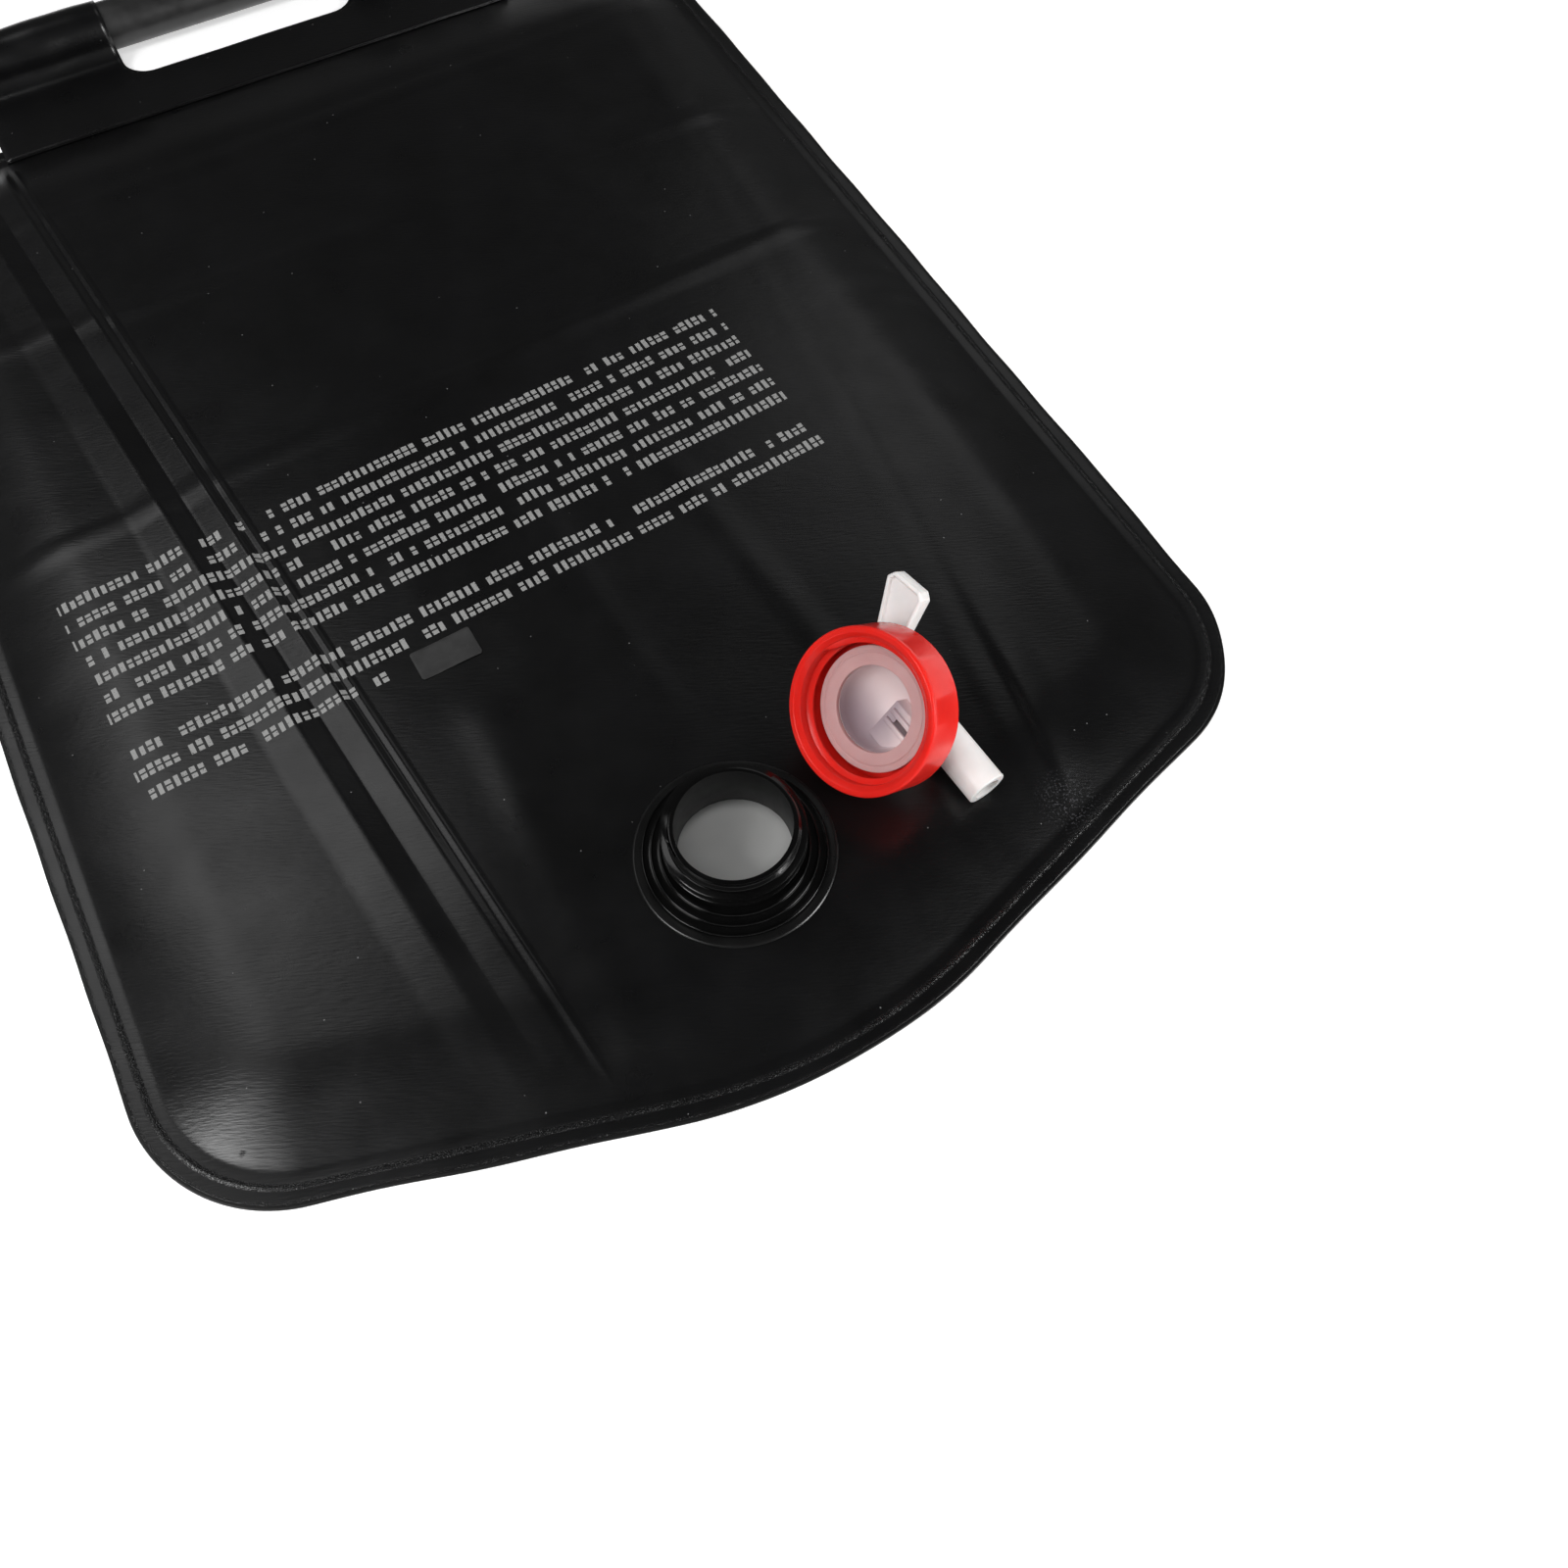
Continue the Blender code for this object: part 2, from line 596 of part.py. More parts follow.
def port_cutter(name, reach):
    """A round hole that runs from the barrel's axis out of one side."""
    bm = bmesh.new()
    bmesh.ops.create_cone(
        bm, cap_ends=True, segments=SMALL_STEPS, radius1=PORT_RADIUS, radius2=PORT_RADIUS, depth=reach)
    bmesh.ops.translate(bm, vec=(PORT_OFFSET, 0.0, reach / 2), verts=bm.verts)
    return as_cutter(add_part(name, mesh_of(name, bm)))


def lever_outline():
    """The paddle's corners in order, from the far side of its root."""
    middle = Vector((-LEVER_ROOT, 0.0))
    end = middle + heading(LEVER_RAKE) * LEVER_LENGTH
    across = Vector((math.cos(LEVER_END_TURN), math.sin(LEVER_END_TURN)))
    sides = []
    for way, turn, chamfer in (
        (-1, LEVER_RAKE + LEVER_FLARE, LEVER_FAR_CHAMFER),
        (1, LEVER_RAKE - LEVER_FLARE, LEVER_NEAR_CHAMFER),
    ):
        root = middle + Vector((way * LEVER_ROOT_WIDTH / 2, 0.0))
        up = heading(turn)
        corner = root + up * ((end - root).cross(across) / up.cross(across))
        sides.append((root, corner - up * chamfer, corner - across * way * chamfer))
    far, near = sides
    return [far[0], near[0], near[1], near[2], far[2], far[1]]


def heading(turn):
    """Direction in the paddle's plane, turned from straight away from the barrel."""
    return Vector((-math.sin(turn), math.cos(turn)))


def lever_blade(name):
    """The paddle in the plane of the barrel and the collar's edge, wider at its end."""
    outline = lever_outline()
    bm = bmesh.new()
    points = [bm.verts.new((x, y, -LEVER_THICKNESS / 2)) for x, y in outline]
    floor = bm.faces.new(points)
    grown = bmesh.ops.extrude_face_region(bm, geom=[floor], use_keep_orig=True)
    lifted = [item for item in grown["geom"] if isinstance(item, bmesh.types.BMVert)]
    bmesh.ops.translate(bm, vec=(0.0, 0.0, LEVER_THICKNESS), verts=lifted)
    bmesh.ops.recalc_face_normals(bm, faces=bm.faces)
    faces = [face for face in bm.faces if abs(face.normal.z) > 0.9]
    bmesh.ops.inset_individual(
        bm, faces=faces, thickness=LEVER_RIM, depth=-LEVER_RECESS, use_even_offset=True)
    return as_cutter(add_part(name, mesh_of(name, bm)))


def make_tap_key():
    """Hollow rotor with a side port, and a hub outside the barrel that carries the lever."""
    profile = [
        (0.0, -KEY_BORE_FLOOR),
        (KEY_BORE, -KEY_BORE_FLOOR),
        (KEY_BORE, KEY_END),
        (KEY_RADIUS, KEY_END),
        (KEY_RADIUS, -HUB_START),
        (HUB_RADIUS, -HUB_START),
        (HUB_RADIUS, -HUB_START - HUB_WIDTH),
        (0.0, -HUB_START - HUB_WIDTH),
    ]
    obj = turned("tap_key", profile, steps=SMALL_STEPS, closed=False, made_of=WHITE_MOULDING)
    on_tap(obj, ALONG_NOZZLE, BARREL_DEPTH)
    blade = lever_blade("lever_blade")
    on_tap(blade, depth=BARREL_DEPTH)
    combine(obj, blade, "UNION")
    port = port_cutter("key_port", BARREL_BORE + OVERRUN)
    on_tap(port, Matrix.Rotation(LEVER_OPEN_TURN, 4, "X"), BARREL_DEPTH)
    combine(obj, port, "DIFFERENCE")
    return obj


BLACK_SHEET = plain_material("black_sheet", (0.012, 0.012, 0.012), 0.45)
SMOKY_SHEET = plain_material("smoky_sheet", (0.30, 0.30, 0.29), 0.35, alpha=0.7)
BLACK_MOULDING = plain_material("black_moulding", (0.010, 0.010, 0.010), 0.30)
LABEL_FILM = plain_material("label_film", (0.035, 0.035, 0.035), 0.60)
TUBE_PLASTIC = plain_material("tube_plastic", (0.020, 0.020, 0.020), 0.40)
RED_MOULDING = plain_material("red_moulding", (0.75, 0.035, 0.022), 0.35)
WHITE_MOULDING = plain_material("white_moulding", (0.80, 0.78, 0.76), 0.35)
PALE_WASHER = plain_material("pale_washer", (0.80, 0.62, 0.61), 0.40)

TAP = bpy.data.objects.new("tap_place", None)
PARTS.objects.link(TAP)
TAP.matrix_world = tap_frame()

make_back_sheet()
make_front_sheet()
make_neck_patch()
make_filler_neck()
make_label_patch()
make_handle_sleeve()
make_handle_tube()
make_screw_collar()
make_sealing_washer()
make_tap_body()
make_tap_key()

for part in PARTS.objects:
    if part.type == "MESH":
        shade(part)
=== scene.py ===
# %% [markdown]
# # A camp shower bag, dressed
#
# The bag is two soft sheets welded round their edge, with a moulded filler neck, a carrying
# tube in a folded sleeve, and a loose screw collar with a lever tap lying on it. The packed
# model gives every piece its place. This lesson replaces each plain solid by a fuller form
# and gives it a finish, in the same metres and the same axes.

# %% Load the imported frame
import json
import math

import bmesh
import bpy
import numpy as np
from mathutils import Matrix, Vector


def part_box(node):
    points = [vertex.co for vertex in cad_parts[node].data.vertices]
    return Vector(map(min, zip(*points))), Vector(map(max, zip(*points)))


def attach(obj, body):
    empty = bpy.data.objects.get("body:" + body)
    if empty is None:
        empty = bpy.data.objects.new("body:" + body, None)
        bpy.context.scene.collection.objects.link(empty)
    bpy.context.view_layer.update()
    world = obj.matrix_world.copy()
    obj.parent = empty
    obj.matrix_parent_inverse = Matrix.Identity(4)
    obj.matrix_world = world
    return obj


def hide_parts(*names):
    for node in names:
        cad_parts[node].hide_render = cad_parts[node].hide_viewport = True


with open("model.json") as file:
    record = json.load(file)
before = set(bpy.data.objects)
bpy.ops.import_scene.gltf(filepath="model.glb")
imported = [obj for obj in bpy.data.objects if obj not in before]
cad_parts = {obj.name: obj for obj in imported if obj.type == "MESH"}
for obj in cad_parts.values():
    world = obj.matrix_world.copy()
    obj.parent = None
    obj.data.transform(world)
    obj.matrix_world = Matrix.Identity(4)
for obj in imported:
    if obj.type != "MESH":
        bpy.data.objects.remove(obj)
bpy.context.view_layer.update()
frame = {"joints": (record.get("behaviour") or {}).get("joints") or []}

# %% [markdown]
# ## Reading sizes from the frame
#
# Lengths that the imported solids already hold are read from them, so that a piece can't
# drift from the part it stands for. Only what the solids don't show is a number here.
# The loose tap leans, so its pieces are made upright round their own Z axis, with the open
# side up, and one matrix lays them all down together.

# %% Places and sizes taken from the solids
MM = 0.001
TURN = math.tau

neck_low, neck_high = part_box("filler_neck")
NECK_X = (neck_low.x + neck_high.x) / 2
NECK_Y = (neck_low.y + neck_high.y) / 2
NECK_BOTTOM = neck_low.z
NECK_HEIGHT = neck_high.z - neck_low.z
SHEET_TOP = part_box("front_sheet")[1].z
BACK_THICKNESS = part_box("back_sheet")[1].z
FRONT_THICKNESS = 0.6 * MM
WELD_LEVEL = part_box("front_sheet")[0].z + FRONT_THICKNESS
bag_low, bag_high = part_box("back_sheet")
tube_low, tube_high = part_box("handle_tube")
TUBE_Y = (tube_low.y + tube_high.y) / 2
TUBE_Z = (tube_low.z + tube_high.z) / 2

JOINTS = {joint["name"]: joint for joint in frame["joints"]}
out = Vector(JOINTS["collar_spin"]["axis"]).normalized()
along = -Vector(JOINTS["lever_turn"]["axis"]).normalized()
side = out.cross(along)
TAP_PLACE = (Matrix.Translation(JOINTS["collar_spin"]["pos_m"])
             @ Matrix((along, side, out)).transposed().to_4x4())
BARREL_DEPTH = -(TAP_PLACE.inverted() @ Vector(JOINTS["lever_turn"]["pos_m"])).z
print("neck", round(NECK_Y, 4), "sheet top", round(SHEET_TOP, 5), "barrel", round(BARREL_DEPTH, 4))

# %% [markdown]
# ## Three small helpers
#
# Most pieces here are turned, like the real mouldings: a profile of radius and height is
# spun round an axis. A thread is a short section spun with a rise at each step, and thinned
# into the wall at both ends as a mould maker does. Pieces that grow out of each other are
# joined by a Boolean that is applied at once, so that each mesh is one clean skin.

# %% Turning, threading, joining
MERGE = 0.02 * MM


def lathe(profile, steps=96, closed=True):
    """Spins a profile of (radius, height) round Z into one closed skin."""
    bm = bmesh.new()
    points = [bm.verts.new((radius, 0.0, height)) for radius, height in profile]
    lines = [bm.edges.new(pair) for pair in zip(points, points[1:])]
    if closed:
        lines.append(bm.edges.new((points[-1], points[0])))
    bmesh.ops.spin(bm, geom=points + lines, cent=(0, 0, 0), axis=(0, 0, 1),
                   angle=TURN, steps=steps, use_merge=True)
    bmesh.ops.remove_doubles(bm, verts=bm.verts, dist=MERGE)
    bmesh.ops.recalc_face_normals(bm, faces=bm.faces)
    return bm


def round_edges(bm, width, segments=3, sharper_than=40.0, where=None):
    """Bevels the edges that are sharper than an angle in degrees."""
    limit = math.radians(sharper_than)
    picked = [edge for edge in bm.edges
              if edge.is_manifold and edge.calc_face_angle(0.0) > limit
              and (where is None or where((edge.verts[0].co + edge.verts[1].co) / 2))]
    bmesh.ops.bevel(bm, geom=picked, offset=width, segments=segments, profile=0.5,
                    affect="EDGES", material=-1)
    return bm


def thread(section, turns, pitch, steps=72, taper=0.12):
    """A closed section of (radius, height) swept up a helix and thinned at both ends."""
    bm = bmesh.new()
    first = bm.faces.new([bm.verts.new((radius, 0.0, height)) for radius, height in section])
    bmesh.ops.spin(bm, geom=[first], cent=(0, 0, 0), axis=(0, 0, 1), angle=TURN * turns,
                   dvec=(0, 0, pitch / steps), steps=round(turns * steps))
    bmesh.ops.holes_fill(bm, edges=[edge for edge in bm.edges if edge.is_boundary])
    bmesh.ops.recalc_face_normals(bm, faces=bm.faces)
    root = section[0][0]
    middle = sum(height for _, height in section) / len(section)
    for vert in bm.verts:
        angle = math.atan2(vert.co.y, vert.co.x) / TURN % 1.0
        lap = angle + round((vert.co.z - middle) / pitch - angle)
        fade = min(1.0, max(0.0, min(lap, turns - lap) / taper))
        fade = fade * fade * (3 - 2 * fade)
        radius = math.hypot(vert.co.x, vert.co.y)
        shrink = (root + (radius - root) * fade) / radius
        vert.co.x *= shrink
        vert.co.y *= shrink
    return bm


def joined(base, tools):
    """Applies Boolean tools, given as (bmesh, operation), to a bmesh and returns the result."""
    made = []
    for shape in [base] + [tool for tool, _ in tools]:
        mesh = bpy.data.meshes.new("shape")
        shape.to_mesh(mesh)
        shape.free()
        made.append(bpy.data.objects.new("shape", mesh))
        bpy.context.scene.collection.objects.link(made[-1])
    for tool, (_, operation) in zip(made[1:], tools):
        step = made[0].modifiers.new(operation, "BOOLEAN")
        step.object = tool
        step.operation = operation
        step.solver = "MANIFOLD"
    graph = bpy.context.evaluated_depsgraph_get()
    mesh = bpy.data.meshes.new_from_object(made[0].evaluated_get(graph))
    bm = bmesh.new()
    bm.from_mesh(mesh)
    bmesh.ops.remove_doubles(bm, verts=bm.verts, dist=MERGE / 4)
    for obj in made:
        bpy.data.objects.remove(obj, do_unlink=True)
    return bm


# %% Handing a finished mesh to its body
def show(name, bm, body, nodes, material, place=None, crease=32.0):
    """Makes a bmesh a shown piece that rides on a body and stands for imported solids."""
    if place is not None:
        bmesh.ops.transform(bm, matrix=place, verts=bm.verts)
    for face in bm.faces:
        face.smooth = True
    for edge in bm.edges:
        edge.smooth = edge.is_boundary or edge.calc_face_angle(0.0) < math.radians(crease)
    mesh = bpy.data.meshes.new(name)
    bm.to_mesh(mesh)
    bm.free()
    obj = bpy.data.objects.new(name, mesh)
    bpy.context.scene.collection.objects.link(obj)
    mesh.materials.append(material)
    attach(obj, body)
    if nodes:
        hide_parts(*nodes)
    triangles = sum(len(face.vertices) - 2 for face in mesh.polygons)
    print(f"{name}: {triangles} triangles on {body}")
    return obj


# %% [markdown]
# ## Finishes
#
# A moulded or calendered plastic is never one flat value: its colour drifts a little, its
# gloss is broken by handling, and its surface has a fine grain. A small class keeps the node
# trees short. Values that are the same all over a surface are set on the shader itself.

# %% A short way to write node trees
class Finish:
    """A Principled material, with helpers that add noise, ramps and bumps to it."""

    def __init__(self, name, roughness=0.4, **values):
        self.material = bpy.data.materials.new(name)
        self.material.use_nodes = True
        self.nodes = self.material.node_tree.nodes
        self.links = self.material.node_tree.links
        self.shader = self.nodes["Principled BSDF"]
        self.shader.inputs["Roughness"].default_value = roughness
        for key, value in values.items():
            self.shader.inputs[key.replace("_", " ")].default_value = value
        self.place = self.nodes.new("ShaderNodeTexCoord").outputs["Object"]
        self.height = None

    def link(self, source, target):
        if isinstance(source, (int, float)):
            target.default_value = source
        else:
            self.links.new(source, target)

    def math(self, operation, *inputs):
        node = self.nodes.new("ShaderNodeMath")
        node.operation = operation
        for source, socket in zip(inputs, node.inputs):
            self.link(source, socket)
        return node.outputs[0]

    def noise(self, size, detail=3.0, longer=1.0, turn=0.0):
        """Noise with blotches about size metres across, drawn out along a direction."""
        move = self.nodes.new("ShaderNodeMapping")
        move.vector_type = "TEXTURE"
        move.inputs["Scale"].default_value = (longer, 1.0, 1.0)
        move.inputs["Rotation"].default_value = (0.0, 0.0, turn)
        self.link(self.place, move.inputs["Vector"])
        node = self.nodes.new("ShaderNodeTexNoise")
        node.inputs["Scale"].default_value = 1.0 / size
        node.inputs["Detail"].default_value = detail
        self.link(move.outputs[0], node.inputs["Vector"])
        return node.outputs["Fac"]

    def ramp(self, source, low, high, to_low=0.0, to_high=1.0):
        node = self.nodes.new("ShaderNodeMapRange")
        for key, value in zip(("From Min", "From Max", "To Min", "To Max"),
                              (low, high, to_low, to_high)):
            node.inputs[key].default_value = value
        self.link(source, node.inputs["Value"])
        return node.outputs["Result"]

    def mix(self, share, first, second):
        """Mixes two colours, given as three numbers or as a socket, by a share."""
        node = self.nodes.new("ShaderNodeMix")
        node.data_type = "RGBA"
        self.link(share, node.inputs[0])
        for source, socket in ((first, node.inputs[6]), (second, node.inputs[7])):
            if isinstance(source, tuple):
                socket.default_value = (*source, 1.0)
            else:
                self.links.new(source, socket)
        return node.outputs[2]

    def bump(self, source, depth):
        """Adds a relief of depth metres to what is there already."""
        node = self.nodes.new("ShaderNodeBump")
        node.inputs["Distance"].default_value = depth
        self.link(source, node.inputs["Height"])
        if self.height is not None:
            self.links.new(self.height, node.inputs["Normal"])
        self.height = node.outputs["Normal"]
        self.links.new(self.height, self.shader.inputs["Normal"])

    def colour(self, source):
        self.links.new(source, self.shader.inputs["Base Color"])

    def gloss(self, source):
        self.links.new(source, self.shader.inputs["Roughness"])


# %% [markdown]
# ### Black film, with its rows of print
#
# The sheet is a soft black film with a fine calendered rib, a few dust specks and a scuffed
# place by the lower right fold. Its rows of print are plain blocks of ink that say nothing. The
# row, the block and the gaps between runs of blocks come from stepped coordinates, and each
# block's size from white noise at its step, so the ink needs no picture.

# %% Where the print stands
PRINT_TURN = math.radians(3.0)
PRINT_LEFT, PRINT_RIGHT = -0.155, 0.118  # from the neck, along the rows
PRINT_BOTTOM = 0.1196  # baseline of the last row, straight above the neck
ROW_PITCH, ROWS, EMPTY_ROW = 8.8 * MM, 11, 3
BLOCK_HEIGHT, BLOCK_PITCH = 4.7 * MM, 2.9 * MM
LAST_ROW_END = -0.0665
HALF_WIDTH_SHARES, HEIGHT_SHARES = (0.27, 0.39), (0.76, 1.02)  # of the pitch and of the height
GAP_SHARE = 0.17  # of the places in a row that hold no block
SLIT_AT_SHARE, SLIT_HALF_SHARE = 0.45, 0.07  # the gap across a block, of its height
SLIT_FREE_SHARE = 0.45  # of the blocks that have no such gap
BLOCK_MIDDLE_SHARE = 0.52  # of the pitch
WORN_BELOW = 0.33  # value of the noise under which the ink has gone


def add_print(film):
    """Returns a mask that is 1 where there is ink."""
    split = film.nodes.new("ShaderNodeSeparateXYZ")
    film.link(film.place, split.inputs[0])
    x, y = split.outputs[0], film.math("SUBTRACT", split.outputs[1], NECK_Y)
    cos, sin = math.cos(PRINT_TURN), math.sin(PRINT_TURN)
    across = film.math("MULTIPLY_ADD", x, cos, film.math("MULTIPLY", y, sin))
    up = film.math("MULTIPLY_ADD", x, -sin, film.math("MULTIPLY", y, cos))
    up = film.math("DIVIDE", film.math("SUBTRACT", up, PRINT_BOTTOM), ROW_PITCH)
    cell = film.math("DIVIDE", across, BLOCK_PITCH)
    row, column = film.math("FLOOR", up), film.math("FLOOR", cell)
    in_row, in_cell = film.math("FRACT", up), film.math("FRACT", cell)
    at = film.nodes.new("ShaderNodeCombineXYZ")
    film.link(column, at.inputs[0])
    film.link(row, at.inputs[1])
    hashed = film.nodes.new("ShaderNodeTexWhiteNoise")
    hashed.noise_dimensions = "2D"
    film.link(at.outputs[0], hashed.inputs["Vector"])
    parts = film.nodes.new("ShaderNodeSeparateColor")
    film.link(hashed.outputs["Color"], parts.inputs[0])

    def between(value, ends):
        return film.math("MULTIPLY_ADD", value, ends[1] - ends[0], ends[0])

    def above(value, limit):
        return film.math("GREATER_THAN", value, limit)

    def below(value, limit):
        return film.math("LESS_THAN", value, limit)

    def both(first, *others):
        for other in others:
            first = film.math("MULTIPLY", first, other)
        return first

    def near(value, centre, reach):
        return film.math("COMPARE", value, centre, reach)

    def without(value):
        return film.math("SUBTRACT", 1.0, value)

    first, second, third = parts.outputs[:3]
    up_block = film.math("DIVIDE", in_row, BLOCK_HEIGHT / ROW_PITCH)
    slit = both(near(up_block, SLIT_AT_SHARE, SLIT_HALF_SHARE), above(second, SLIT_FREE_SHARE))
    block = both(near(in_cell, BLOCK_MIDDLE_SHARE, between(second, HALF_WIDTH_SHARES)),
                 below(up_block, between(third, HEIGHT_SHARES)), above(first, GAP_SHARE),
                 without(slit))
    inside = both(above(across, PRINT_LEFT), below(across, PRINT_RIGHT), above(row, -0.5),
                  below(row, ROWS - 0.5), without(near(row, EMPTY_ROW, 0.5)))
    short = film.math("MAXIMUM", above(row, 0.5), below(across, LAST_ROW_END))
    return both(block, inside, short, above(film.noise(0.5 * MM, 2.0), WORN_BELOW))


# %% The black film
FILM_TONES = ((0.0020, 0.0020, 0.0021), (0.0034, 0.0034, 0.0037))
INK, DUST, SCUFFED = (0.30, 0.30, 0.295), (0.24, 0.24, 0.24), (0.12, 0.12, 0.13)
INK_COVER, DUST_COVER, SCUFF_COVER = 0.9, 0.55, 0.35
DUST_SPACING = 7 * MM
DUST_RADIUS_SHARE = 0.036  # of the spacing
SCUFF_PLACE = (0.1075, NECK_Y - 0.036)
RIB_WIDTH, RIB_LENGTH_SHARE, RIB_TURN = 0.75 * MM, 7.0, math.radians(-25.0)
MIDDLE = (0.3, 0.7)  # the noise's values that a slow drift runs between


def add_ribs(film, depth):
    """The fine slanted rib that the calender's roll leaves on both films."""
    film.bump(film.noise(RIB_WIDTH, 1.0, RIB_LENGTH_SHARE, RIB_TURN), depth)


def black_film(printed):
    film = Finish("black_film_printed" if printed else "black_film", Specular_IOR_Level=0.5)
    tone = film.mix(film.ramp(film.noise(45 * MM), *MIDDLE), *FILM_TONES)
    specks = film.nodes.new("ShaderNodeTexVoronoi")
    specks.inputs["Scale"].default_value = 1.0 / DUST_SPACING
    film.link(film.place, specks.inputs["Vector"])
    small = film.math("LESS_THAN", specks.outputs["Distance"], DUST_RADIUS_SHARE)
    dust = film.math("MULTIPLY", small, film.math("GREATER_THAN", specks.outputs["Color"], 0.5))
    tone = film.mix(film.math("MULTIPLY", dust, DUST_COVER), tone, DUST)
    split = film.nodes.new("ShaderNodeSeparateXYZ")
    film.link(film.place, split.inputs[0])
    across, along = (
        film.math("POWER", film.math("SUBTRACT", split.outputs[axis], SCUFF_PLACE[axis]), 2.0)
        for axis in (0, 1))
    away = film.math("POWER", film.math("ADD", across, along), 0.5)
    scuffed = film.math("MULTIPLY", film.ramp(away, 4 * MM, 13 * MM, 1.0, 0.0),
                        film.ramp(film.noise(0.8 * MM, 2.0), 0.56, 0.66))
    tone = film.mix(film.math("MULTIPLY", scuffed, SCUFF_COVER), tone, SCUFFED)
    gloss = film.ramp(film.noise(18 * MM), *MIDDLE, 0.27, 0.33)
    if printed:
        ink = add_print(film)
        tone = film.mix(film.math("MULTIPLY", ink, INK_COVER), tone, INK)
        gloss = film.math("MULTIPLY_ADD", ink, 0.18, gloss)
    film.colour(tone)
    film.gloss(gloss)
    add_ribs(film, 0.050 * MM)
    film.bump(film.noise(9 * MM, 2.0), 0.05 * MM)
    knurl = film.nodes.new("ShaderNodeAttribute")
    knurl.attribute_name = "weld"
    dots = film.ramp(film.noise(0.42 * MM, 0.0), 0.42, 0.58)
    film.bump(film.math("MULTIPLY", knurl.outputs["Fac"], dots), 0.22 * MM)
    return film.material


BLACK_FILM = black_film(printed=False)
PRINTED_FILM = black_film(printed=True)
print("film finishes", BLACK_FILM.name, PRINTED_FILM.name)

# %% [markdown]
# ### Smoky film, mouldings, tube and label
#
# The lower sheet is a cloudy grey film that lets a little light through, and black along its
# weld band: fused into the upper sheet under it, and painted shadow on the narrow edge that
# shows outside it. The mouldings are thick polyethylene: light goes a
# few millimetres into the red and the white ones, so they get subsurface, while the black ones
# only show gloss and a fine mould grain. Inside the tap's bowl, painted pink bounce light from the
# red collar and painted shade stand in for light that a render would have to bounce many times;
# a share that the mesh carries at each vertex places them. The neck's bore carries the same
# share, which there only makes the gloss rougher and the black even.

# %% The smoky film
# The weld band's colour is black: fused film under the upper sheet, and painted shadow on the narrow
# edge that shows outside it.
SMOKY_TONES, FUSED_AND_PAINTED_SHADOW = ((0.54, 0.54, 0.53), (0.66, 0.66, 0.65)), (0.006, 0.006, 0.006)


def smoky_film():
    film = Finish("smoky_film", 0.42, Transmission_Weight=0.25, IOR=1.4)
    cloud = film.mix(film.ramp(film.noise(22 * MM, 2.0), *MIDDLE), *SMOKY_TONES)
    weld = film.nodes.new("ShaderNodeAttribute")
    weld.attribute_name = "weld"
    film.colour(film.mix(weld.outputs["Fac"], cloud, FUSED_AND_PAINTED_SHADOW))
    add_ribs(film, 0.02 * MM)
    return film.material


# %% A finish for moulded pieces
# Painted light for the tap's bowl: at this share of the shade a piece has its painted bounce colour,
# the pink light that the red collar throws into the bowl, and above it painted shade.
BOUNCE_SHARE = 0.25  # the shade at which a piece has its blush colour


def grey(value):
    return (value, value, value)


def moulded(name, dark, light, gloss, grain=0.5 * MM, relief=0.012 * MM, blotch=14 * MM,
            painted_bounce=None, shaded=None, **values):
    """Two tones that drift into each other, broken gloss and a fine mould grain.

    Where the mesh has a shade, the tone goes over a painted bounce colour to a painted shade colour,
    and the gloss softens.
    """
    made = Finish(name, **values)
    tone = made.mix(made.ramp(made.noise(blotch), *MIDDLE), dark, light)
    gloss = made.ramp(made.noise(blotch / 3), *MIDDLE, *gloss)
    if shaded:
        share = made.nodes.new("ShaderNodeAttribute")
        share.attribute_name = "shade"
        share = share.outputs["Fac"]
        tone = made.mix(made.ramp(share, 0.0, BOUNCE_SHARE), tone, painted_bounce)
        tone = made.mix(made.ramp(share, BOUNCE_SHARE, 1.0), tone, shaded)
        gloss = made.math("MULTIPLY_ADD", share, 0.35, gloss)
    made.colour(tone)
    made.gloss(gloss)
    made.bump(made.noise(grain, 2.0), relief)
    return made.material


SMOKY_FILM = smoky_film()
# On the neck's bore wall the shade share only makes the gloss rougher: both of its shade colours are
# the neck's own black.
NECK_BLACK = moulded("neck_black", grey(0.0018), grey(0.0032), (0.12, 0.19),
                     painted_bounce=grey(0.003), shaded=grey(0.003), Specular_IOR_Level=0.4)
PATCH_BLACK = moulded("patch_black", grey(0.004), grey(0.007), (0.26, 0.34))
LABEL_GREY = moulded("label_grey", grey(0.019), grey(0.030), (0.50, 0.62), blotch=5 * MM)
TUBE_BLACK = moulded("tube_black", grey(0.014), grey(0.024), (0.30, 0.44))
COLLAR_RED = moulded(
    "collar_red", (0.68, 0.017, 0.012), (0.77, 0.024, 0.017), (0.16, 0.23), Specular_IOR_Level=0.15,
    Subsurface_Weight=0.5, Subsurface_Radius=(1.0, 0.10, 0.06), Subsurface_Scale=1.6 * MM)
WASHER_PINK = moulded(
    "washer_pink", (0.66, 0.38, 0.38), (0.74, 0.46, 0.45), (0.34, 0.46),
    Subsurface_Weight=0.4, Subsurface_Radius=(1.0, 0.6, 0.5), Subsurface_Scale=2 * MM,
    Transmission_Weight=0.25, IOR=1.4)
# The tap's white carries painted pink bounce light from the red collar and a dark painted shade in
# its bowl.
TAP_WHITE = moulded(
    "tap_white", (0.76, 0.74, 0.725), (0.84, 0.82, 0.81), (0.28, 0.38),
    painted_bounce=(0.80, 0.66, 0.66), shaded=(0.24, 0.18, 0.22),
    Subsurface_Weight=0.3, Subsurface_Radius=(1.0, 0.8, 0.7), Subsurface_Scale=2 * MM)
print("moulded finishes made")

# %% [markdown]
# ## The outline and the distance to it
#
# The bag is a rectangle with a shallow point at its bottom and round corners. Both sheets,
# the weld and the rise behind it follow that outline, so one function tells, for any point,
# how far inside the edge it is and which way the edge lies.

